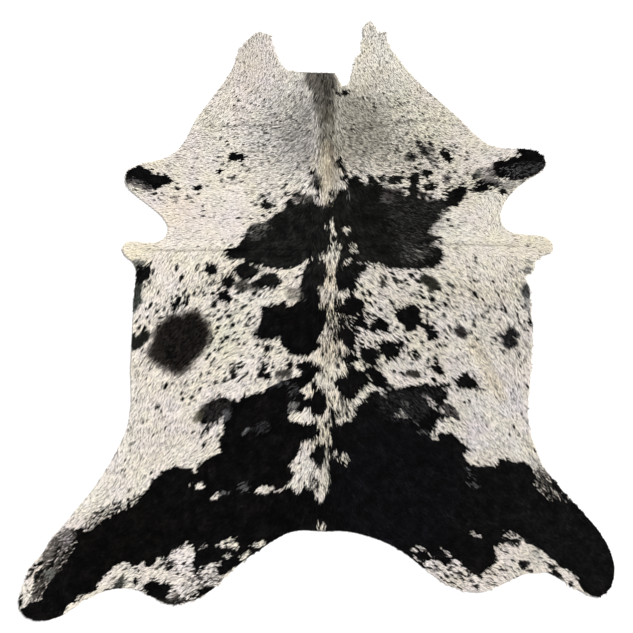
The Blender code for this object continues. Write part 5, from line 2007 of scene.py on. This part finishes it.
@dataclass
class Skin:
    """The tanned skin, one closed sheet with its hair side up."""

    body: Body
    pattern: CoatPattern
    colours: HairColours
    hair_side_step: float = 8 * MM
    hair_side_seed: int = 61
    flesh_side_step: float = 15 * MM
    flesh_side_seed: int = 62
    jitter: float = 0.12
    rim_clearance: float = 0.55
    merge: float = 0.001 * MM
    bevel: float = 0.5 * MM
    painted_gap_shade: float = 0.32
    roan_shade: float = 0.5
    painted_black_gap_shade: float = 0.8
    name: str = "skin"

    def side(self, ring: Ring, step: float, seed: int) -> tuple[np.ndarray, np.ndarray, list]:
        """Fills an outline with triangles.

        Args:
            ring: The outline.
            step: The spacing of the points inside.
            seed: Starts the points' small strays.

        Returns:
            The points, the corners of each triangle, and where each corner of the ring went.
        """
        grid = hex_grid(ring.corners.min(0), ring.corners.max(0), step, self.jitter, seed)
        grid = grid[ring.contains(grid)]
        tree = ring.corner_tree()
        clear = [tree.find((x, y, 0))[2] > self.rim_clearance * step for x, y in grid]
        starts = [Vector(p) for p in ring.corners] + [Vector(p) for p in grid[np.array(clear)]]
        count = len(ring.corners)
        points, _, faces, origins, _, _ = delaunay_2d_cdt(starts, [], [list(range(count))], 1, self.merge)
        at_ring = [0] * count
        for number, sources in enumerate(origins):
            for source in sources:
                if source < count:
                    at_ring[source] = number
        return np.array(points), np.array(faces), at_ring

    def build(self) -> bpy.types.Object:
        """Builds the sheet: hair side, flesh side, and the cut rim between them.

        Returns:
            The skin.
        """
        outline = self.body.outline
        rim = outline.corners
        drawn_in = Ring(rim - outline.outwards() * self.bevel)
        over, over_faces, over_ring = self.side(drawn_in, self.hair_side_step, self.hair_side_seed)
        under, under_faces, under_ring = self.side(outline, self.flesh_side_step, self.flesh_side_seed)
        base = self.body.relief.heights(rim)
        shoulder = base + self.body.thickness - self.bevel
        points = np.concatenate((
            np.column_stack((over, self.body.top(over))),
            np.column_stack((under, self.body.relief.heights(under))),
            np.column_stack((rim, shoulder)),
        ))
        under_first = len(over)
        rim_first = under_first + len(under)
        faces = over_faces.tolist() + (under_faces[:, ::-1] + under_first).tolist()
        count = len(rim)
        for here in range(count):
            there = (here + 1) % count
            top_here, top_there = over_ring[here], over_ring[there]
            low_here, low_there = under_ring[here] + under_first, under_ring[there] + under_first
            mid_here, mid_there = rim_first + here, rim_first + there
            faces.append([low_here, low_there, mid_there, mid_here])
            faces.append([mid_here, mid_there, top_there, top_here])
        mesh = bpy.data.meshes.new(self.name)
        mesh.from_pydata(points.tolist(), [], faces)
        slots = np.zeros(len(faces), np.int32)
        slots[len(over_faces):] = 1
        slots[len(over_faces) + len(under_faces):] = 2
        mesh.polygons.foreach_set("material_index", slots)
        self.colour(mesh, points)
        mesh.validate()
        mesh.update()
        mesh.shade_smooth()
        return new_object(self.name, mesh)

    def colour(self, mesh: bpy.types.Mesh, points: np.ndarray) -> None:
        """Gives every point of the skin the colour of the hair that grows there, its pale and black
        darkened by painted shade for the shade that the locks cast on the skin.

        Args:
            mesh: The skin's mesh.
            points: One row of x, y and z for each point.
        """
        plan = points[:, :2]
        found = self.pattern.at(plan, plan)
        # Painted shade: the pale and the black are darkened, as the skin lies in the shade of the locks.
        pale = np.repeat(linear(self.colours.ivory)[None], len(plan), 0) * self.painted_gap_shade
        tint = found.tint[:, None]
        pale = pale ** (1 - tint) * np.maximum(found.tone, self.colours.darkest_tone) ** tint
        share = np.clip(found.black + self.roan_shade * found.roan, 0, 1)[:, None]
        tone = pale ** (1 - share) * (linear(self.colours.black) * self.painted_black_gap_shade) ** share
        opaque = np.column_stack((tone, np.ones(len(tone))))
        store = mesh.attributes.new("hair_colour", "FLOAT_COLOR", "POINT")
        store.data.foreach_set("color", opaque.astype(np.float32).ravel())

    def dress(self, skin: bpy.types.Object) -> None:
        """Puts the finishes of the three sides on the skin."""
        for finish in (UnderCoatFinish(), SuedeFinish(), CutEdgeFinish()):
            skin.data.materials.append(finish.material())


class HairTree:
    """The node tree that grows a lock of hair on every root."""

    name = "grow_hair"

    def build(self) -> bpy.types.GeometryNodeTree:
        """Builds the tree once.

        Returns:
            The tree.
        """
        tree = bpy.data.node_groups.get(self.name)
        if tree:
            return tree
        tree = bpy.data.node_groups.new(self.name, "GeometryNodeTree")
        bench = NodeBench(tree)
        bench.sockets("INPUT", "Geometry", "Roots")
        bench.sockets("INPUT", "Float", "Width", "Thickness", "Length")
        bench.sockets("INPUT", "Material", "Pale hair", "Dark hair")
        bench.sockets("OUTPUT", "Geometry", "Hair")
        given = bench.add("NodeGroupInput")
        spike = {"Vertices": 3, "Radius Top": 0.0, "Radius Bottom": 1.0, "Depth": 1.0}
        cone = bench.add("GeometryNodeMeshCone", spike)
        place = bench.add("ShaderNodeSeparateXYZ", {0: bench.add("GeometryNodeInputPosition").outputs[0]})
        # The cone's foot is a triangle on a unit circle. It becomes 2 wide and 1 high.
        side = bench.maths("DIVIDE", place.outputs["Y"], math.sqrt(0.75))
        ridge = bench.maths("DIVIDE", bench.maths("ADD", place.outputs["X"], 0.5), 1.5)
        on_lock = bench.add("ShaderNodeCombineXYZ", {0: side, 1: place.outputs["Z"], 2: ridge})
        marked = bench.add(
            "GeometryNodeStoreNamedAttribute",
            {"Geometry": cone.outputs["Mesh"], "Name": "strand", "Value": on_lock.outputs[0]},
            data_type="FLOAT_VECTOR",
            domain="POINT",
        )
        shape = bench.add("ShaderNodeCombineXYZ", {
            0: bench.maths("MULTIPLY", side, bench.maths("MULTIPLY", given.outputs["Width"], 0.5)),
            1: bench.maths("MULTIPLY", place.outputs["Z"], given.outputs["Length"]),
            2: bench.maths("MULTIPLY", ridge, given.outputs["Thickness"]),
        })
        formed = {"Geometry": marked.outputs[0], "Position": shape.outputs[0]}
        lock = bench.add("GeometryNodeSetPosition", formed)
        grown = bench.add("GeometryNodeInstanceOnPoints", {
            "Points": given.outputs["Roots"],
            "Instance": lock.outputs[0],
            "Rotation": bench.attribute("turn", "FLOAT_VECTOR"),
            "Scale": bench.attribute("size", "FLOAT_VECTOR"),
        })
        real = bench.add("GeometryNodeRealizeInstances", {0: grown.outputs[0]})
        all_pale = {"Geometry": real.outputs[0], "Material": given.outputs["Pale hair"]}
        pale = bench.add("GeometryNodeSetMaterial", all_pale)
        is_dark = {0: bench.attribute("dark", "FLOAT"), 1: 0.5}
        some_dark = {
            "Geometry": pale.outputs[0],
            "Selection": bench.add("FunctionNodeCompare", is_dark, operation="GREATER_THAN").outputs[0],
            "Material": given.outputs["Dark hair"],
        }
        hair = bench.add("GeometryNodeSetMaterial", some_dark)
        bench.add("NodeGroupOutput", {"Hair": hair.outputs[0]})
        return tree


@dataclass
class Locks:
    """The roots of the coat's locks, and what each lock is like."""

    roots: np.ndarray
    turn: np.ndarray
    size: np.ndarray
    colour: np.ndarray
    dark: np.ndarray
    lock: np.ndarray


@dataclass
class HairCoat:
    """The coat: locks of short hair that lie flat on the skin, in a few layers."""

    body: Body
    flow: HairFlow
    pattern: CoatPattern
    colours: HairColours
    spacing: float = 4.12 * MM
    jitter: float = 0.42
    root_seed: int = 71
    lock_seed: int = 72
    layer_seed: int = 73
    length_spread: float = 0.17
    length_limits: tuple[float, float] = (0.55, 1.5)
    lock_width: float = 4.7 * MM
    width_range: tuple[float, float] = (0.75, 1.25)
    lock_thickness: float = 1.1 * MM
    thickness_range: tuple[float, float] = (0.7, 1.3)
    pitch_degrees: float = 10.0
    pitch_spread: float = 4.0
    pitch_least: float = 1.5
    pitch_most: float = 20.0
    steepest_droop: float = 0.9
    stray_degrees: float = 11.0
    overhang: float = 4.0 * MM
    overhang_range: tuple[float, float] = (-0.6, 1.0)
    visible_share: float = 0.68
    lift: float = -0.2 * MM
    clearance: float = 0.6 * MM
    layers: tuple[str, ...] = ("coat_first", "coat_second", "coat_third", "coat_fourth", "coat_fifth")

    def roots(self) -> np.ndarray:
        """Spreads the roots evenly over the skin.

        Returns:
            One row of x and y for each root.
        """
        rim = self.body.outline.corners
        grid = hex_grid(rim.min(0), rim.max(0), self.spacing, self.jitter, self.root_seed)
        return grid[self.body.outline.contains(grid)]

    def lie(self, roots: np.ndarray) -> tuple[np.ndarray, np.ndarray]:
        """The hair's angle and length at each root."""
        return self.flow.at(roots)

    def tucked(self, roots: np.ndarray, reach: np.ndarray, chance: np.random.Generator) -> np.ndarray:
        """Draws back the roots whose tips would hang too far over the rim.

        Args:
            roots: One row of x and y for each root.
            reach: The way from each root to its tip.
            chance: The source of each lock's own overhang.

        Returns:
            The roots, some of them further in.
        """
        outline = self.body.outline
        rim, out, tree = outline.corners, outline.outwards(), outline.corner_tree()
        moved = roots.copy()
        allowed = chance.uniform(*self.overhang_range, len(roots)) ** 3 * self.overhang
        tips = roots + reach
        for number in np.flatnonzero(~outline.contains(tips)):
            _, nearest, _ = tree.find((*tips[number], 0))
            over = (tips[number] - rim[nearest]) @ out[nearest]
            moved[number] -= out[nearest] * max(0.0, over - allowed[number])
        return moved

    def locks(self) -> Locks:
        """Settles the place, the lie, the size and the colour of every lock.

        Returns:
            The locks.
        """
        chance = np.random.default_rng(self.lock_seed)
        roots = self.roots()
        count = len(roots)
        angle, length = self.lie(roots)
        angle = angle + np.radians(chance.normal(0, self.stray_degrees, count))
        length = length * np.clip(chance.normal(1.0, self.length_spread, count), *self.length_limits)
        heading = np.stack((np.cos(angle), np.sin(angle)), 1)
        roots = self.tucked(roots, heading * length[:, None], chance)
        seen = roots + heading * (length * self.visible_share)[:, None]
        found = self.pattern.at(seen, self.pattern.ragged(seen, heading, chance))
        colour, dark = self.colours.mixed(seen, found, chance)
        slopes = self.body.slopes(roots)
        climb = (slopes * heading).sum(1)
        cant = (slopes * np.stack((heading[:, 1], -heading[:, 0]), 1)).sum(1)
        pitch = chance.normal(self.pitch_degrees, self.pitch_spread, count)
        rise = np.radians(np.clip(pitch, self.pitch_least, self.pitch_most)) + np.arctan(climb)
        height = self.body.top(roots) + self.lift
        droop = -np.arcsin(np.clip((height - self.clearance) / length, 0, self.steepest_droop))
        turn = np.stack((np.maximum(rise, droop), -np.arctan(cant), angle - np.pi / 2), 1)
        width = self.lock_width * chance.uniform(*self.width_range, count)
        thick = self.lock_thickness * chance.uniform(*self.thickness_range, count)
        return Locks(
            roots=np.column_stack((roots, height)),
            turn=turn,
            size=np.stack((width, length, thick), 1),
            colour=np.column_stack((colour, np.ones(count))),
            dark=dark.astype(float),
            lock=chance.random(count),
        )

    def grow(
        self, name: str, locks: Locks, chosen: np.ndarray, finishes: Sequence[bpy.types.Material]
    ) -> bpy.types.Object:
        """Grows one layer of the coat.

        Args:
            name: The layer's name.
            locks: The coat's locks.
            chosen: The numbers of this layer's locks.
            finishes: The pale and the dark hair's materials.

        Returns:
            The layer, as a plain mesh.
        """
        mesh = bpy.data.meshes.new(name + "_roots")
        mesh.from_pydata(locks.roots[chosen].tolist(), [], [])
        for label, kind, slot, values in (
            ("turn", "FLOAT_VECTOR", "vector", locks.turn),
            ("size", "FLOAT_VECTOR", "vector", locks.size),
            ("hair_colour", "FLOAT_COLOR", "color", locks.colour),
            ("dark", "FLOAT", "value", locks.dark),
            ("lock", "FLOAT", "value", locks.lock),
        ):
            store = mesh.attributes.new(label, kind, "POINT")
            store.data.foreach_set(slot, values[chosen].astype(np.float32).ravel())
        roots = new_object(name + "_roots", mesh)
        growth = roots.modifiers.new(HairTree.name, "NODES")
        growth.node_group = HairTree().build()
        given = dict(zip(("Pale hair", "Dark hair"), finishes), Width=1.0, Thickness=1.0, Length=1.0)
        for item in growth.node_group.interface.items_tree:
            if item.item_type == "SOCKET" and item.in_out == "INPUT" and item.name in given:
                growth[item.identifier] = given[item.name]
        graph = bpy.context.evaluated_depsgraph_get()
        grown = bpy.data.meshes.new_from_object(roots.evaluated_get(graph), depsgraph=graph)
        roots.modifiers.remove(growth)
        bpy.data.objects.remove(roots, do_unlink=True)
        for label in ("turn", "size", "dark"):
            if label in grown.attributes:
                grown.attributes.remove(grown.attributes[label])
        plan_map(grown)
        grown.name = name
        return new_object(name, grown)

    def build(self) -> list[bpy.types.Object]:
        """Builds every layer of the coat.

        Returns:
            The layers.
        """
        locks = self.locks()
        LOG.info("%s: %d locks of hair", self.layers[0], len(locks.lock))
        finishes = (PALE_HAIR.material(), DARK_HAIR.material())
        dealt = np.random.default_rng(self.layer_seed).permutation(len(locks.lock))
        pieces = []
        for number, name in enumerate(self.layers):
            chosen = np.sort(dealt[number :: len(self.layers)])
            pieces.append(self.grow(name, locks, chosen, finishes))
        return pieces


@dataclass
class Mane(HairCoat):
    """The longer, streaky hair that lies over the coat along the spine and the neck."""

    spacing: float = 3.2 * MM
    root_seed: int = 74
    lock_width: float = 3.4 * MM
    lock_thickness: float = 0.8 * MM
    pitch_degrees: float = 3.5
    pitch_spread: float = 1.2
    stray_degrees: float = 8.0
    lift: float = 1.0 * MM
    visible_share: float = 0.48
    layers: tuple[str, ...] = ("mane",)
    strip: str = MANE_STRIP
    spine: tuple[Guide, ...] = SPINE_HAIR
    splay_degrees: float = 18.0
    half_width: float = 30 * MM
    splay_limit: float = 1.2
    longer: float = 1.35

    def roots(self) -> np.ndarray:
        """Spreads the roots evenly over the strip.

        Returns:
            One row of x and y for each root.
        """
        strip = CHART.places(corners(self.strip))
        grid = hex_grid(strip.min(0), strip.max(0), self.spacing, self.jitter, self.root_seed)
        return grid[Ring(strip).contains(grid) & self.body.outline.contains(grid)]

    def lie(self, roots: np.ndarray) -> tuple[np.ndarray, np.ndarray]:
        """Lets the hair fall to both sides of the spine.

        Args:
            roots: One row of x and y for each root.

        Returns:
            The hair's angle from +X in radians, and its length in metres.
        """
        line = CHART.places([(g.x, g.y) for g in self.spine])[::-1]
        middle = np.interp(roots[:, 1], line[:, 1], line[:, 0])
        long = np.interp(roots[:, 1], line[:, 1], [g.length * MM for g in self.spine[::-1]])
        aside = np.clip((roots[:, 0] - middle) / self.half_width, -self.splay_limit, self.splay_limit)
        return np.radians(self.splay_degrees * aside - 90), long * self.longer


@dataclass
class Fringe(HairCoat):
    """The tufts of hair that stick out over the cut edge, longest where the edge looks shaggy."""

    root_seed: int = 75
    lock_width: float = 4.6 * MM
    lock_thickness: float = 0.8 * MM
    pitch_degrees: float = -4.0
    pitch_spread: float = 4.0
    pitch_least: float = -12.0
    stray_degrees: float = 20.0
    layers: tuple[str, ...] = ("rim_tufts",)
    shags: tuple[Area, ...] = SHAGS
    copies: int = 5
    inset: tuple[float, float] = (0.5 * MM, 4.5 * MM)
    outward_pull: float = 1.3
    shortest: float = 3.5 * MM
    shaggiest: float = 15.0 * MM
    clump_share: float = 0.35
    clumps: SoftNoise = SoftNoise(36, 0.011, 1.2)

    def roots(self) -> np.ndarray:
        """Sets the roots along the rim, a few beside each of its corners.

        Returns:
            One row of x and y for each root.
        """
        chance = np.random.default_rng(self.root_seed)
        outline = self.body.outline
        rim, out = outline.corners, outline.outwards()
        ahead = outline.following - rim
        rows = []
        for _ in range(self.copies):
            along = ahead * chance.uniform(-0.5, 0.5, (len(rim), 1))
            rows.append(rim + along - out * chance.uniform(*self.inset, (len(rim), 1)))
        return np.concatenate(rows)

    def tucked(self, roots: np.ndarray, reach: np.ndarray, chance: np.random.Generator) -> np.ndarray:
        """Leaves the roots where they are."""
        return roots

    def lie(self, roots: np.ndarray) -> tuple[np.ndarray, np.ndarray]:
        """Turns the hair outwards, in clumps of uneven length.

        Args:
            roots: One row of x and y for each root.

        Returns:
            The hair's angle from +X in radians, and its length in metres.
        """
        angle, _ = self.flow.at(roots)
        heading = np.stack((np.cos(angle), np.sin(angle)), 1)
        heading += np.tile(self.body.outline.outwards(), (self.copies, 1)) * self.outward_pull
        shag = np.zeros(len(roots))
        for area in self.shags:
            full_within = 2 - CHART.away(roots, area) / (area.radius * CHART.square)
            shag = np.maximum(shag, smooth_step(full_within) * area.share)
        clump = np.clip(self.clump_share + self.clumps.at(roots), 0, 1)
        length = self.shortest + (self.shaggiest - self.shortest) * shag * clump
        return np.arctan2(heading[:, 1], heading[:, 0]), length


# ----------------------------------------------------------------------------------------------
# The room
# ----------------------------------------------------------------------------------------------


@dataclass(frozen=True)
class Studio:
    """A pale floor, soft light, and a camera that looks straight down."""

    floor_side: float = 60.0
    floor_height: float = -0.4 * MM
    picture_squares: float = 633.0
    lens: float = 50.0
    sensor: float = 36.0
    scale_height: float = 5 * MM
    world_light: float = 0.45
    key_light: float = 3.4
    key_softness_degrees: float = 16.0
    key_from: tuple[float, float, float] = (1.05, 1.0, 1.55)

    def floor(self) -> bpy.types.Object:
        """Lays the floor.

        Returns:
            The floor.
        """
        half = self.floor_side / 2
        mesh = bpy.data.meshes.new("floor")
        square = ((-half, -half), (half, -half), (half, half), (-half, half))
        mesh.from_pydata([(x, y, self.floor_height) for x, y in square], [], [(0, 1, 2, 3)])
        mesh.materials.append(FloorFinish().material())
        floor = new_object("floor", mesh)
        return floor

    def light(self) -> None:
        """Lights the room from all round, and from one wide soft lamp beyond its far side."""
        world = bpy.data.worlds.new("room")
        world.use_nodes = True
        back = world.node_tree.nodes["Background"]
        back.inputs["Color"].default_value = (1, 1, 1, 1)
        back.inputs["Strength"].default_value = self.world_light
        bpy.context.scene.world = world
        light = bpy.data.lights.new("key_lamp", "SUN")
        light.energy = self.key_light
        light.angle = math.radians(self.key_softness_degrees)
        lamp = bpy.data.objects.new("key_lamp", light)
        lamp.rotation_euler = (-Vector(self.key_from)).to_track_quat("-Z", "Y").to_euler()
        bpy.context.scene.collection.objects.link(lamp)

    def camera(self) -> None:
        """Hangs the camera over the middle of the picture."""
        camera = bpy.data.cameras.new("camera")
        camera.lens = self.lens
        camera.sensor_width = self.sensor
        middle = (self.picture_squares / 2, self.picture_squares / 2)
        x, y = CHART.places([middle])[0]
        width = self.picture_squares * CHART.square
        hung = bpy.data.objects.new("camera", camera)
        hung.location = (x, y, width * self.lens / self.sensor + self.scale_height)
        bpy.context.scene.collection.objects.link(hung)
        bpy.context.scene.camera = hung

    def build(self) -> None:
        """Sets up the whole room."""
        self.floor()
        self.light()
        self.camera()
        bpy.context.scene.view_settings.view_transform = "Standard"


def main() -> None:
    """Builds the rug and the room around it."""
    logging.basicConfig(level=logging.INFO, format="%(message)s")
    body = Body(Outline().ring())
    flow = HairFlow()
    pattern = CoatPattern(flow)
    colours = HairColours()
    leather = Skin(body, pattern, colours)
    skin = leather.build()
    leather.dress(skin)
    LOG.info("%s: %d faces", skin.name, len(skin.data.polygons))
    coat = []
    for kind in (HairCoat, Mane, Fringe):
        coat += kind(body, flow, pattern, colours).build()
    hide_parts(NODE)
    for piece in [skin, *coat]:
        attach(piece, BODY)
        LOG.info("%s: %d faces", piece.name, len(piece.data.polygons))
    Studio().build()


if __name__ == "__main__":
    main()
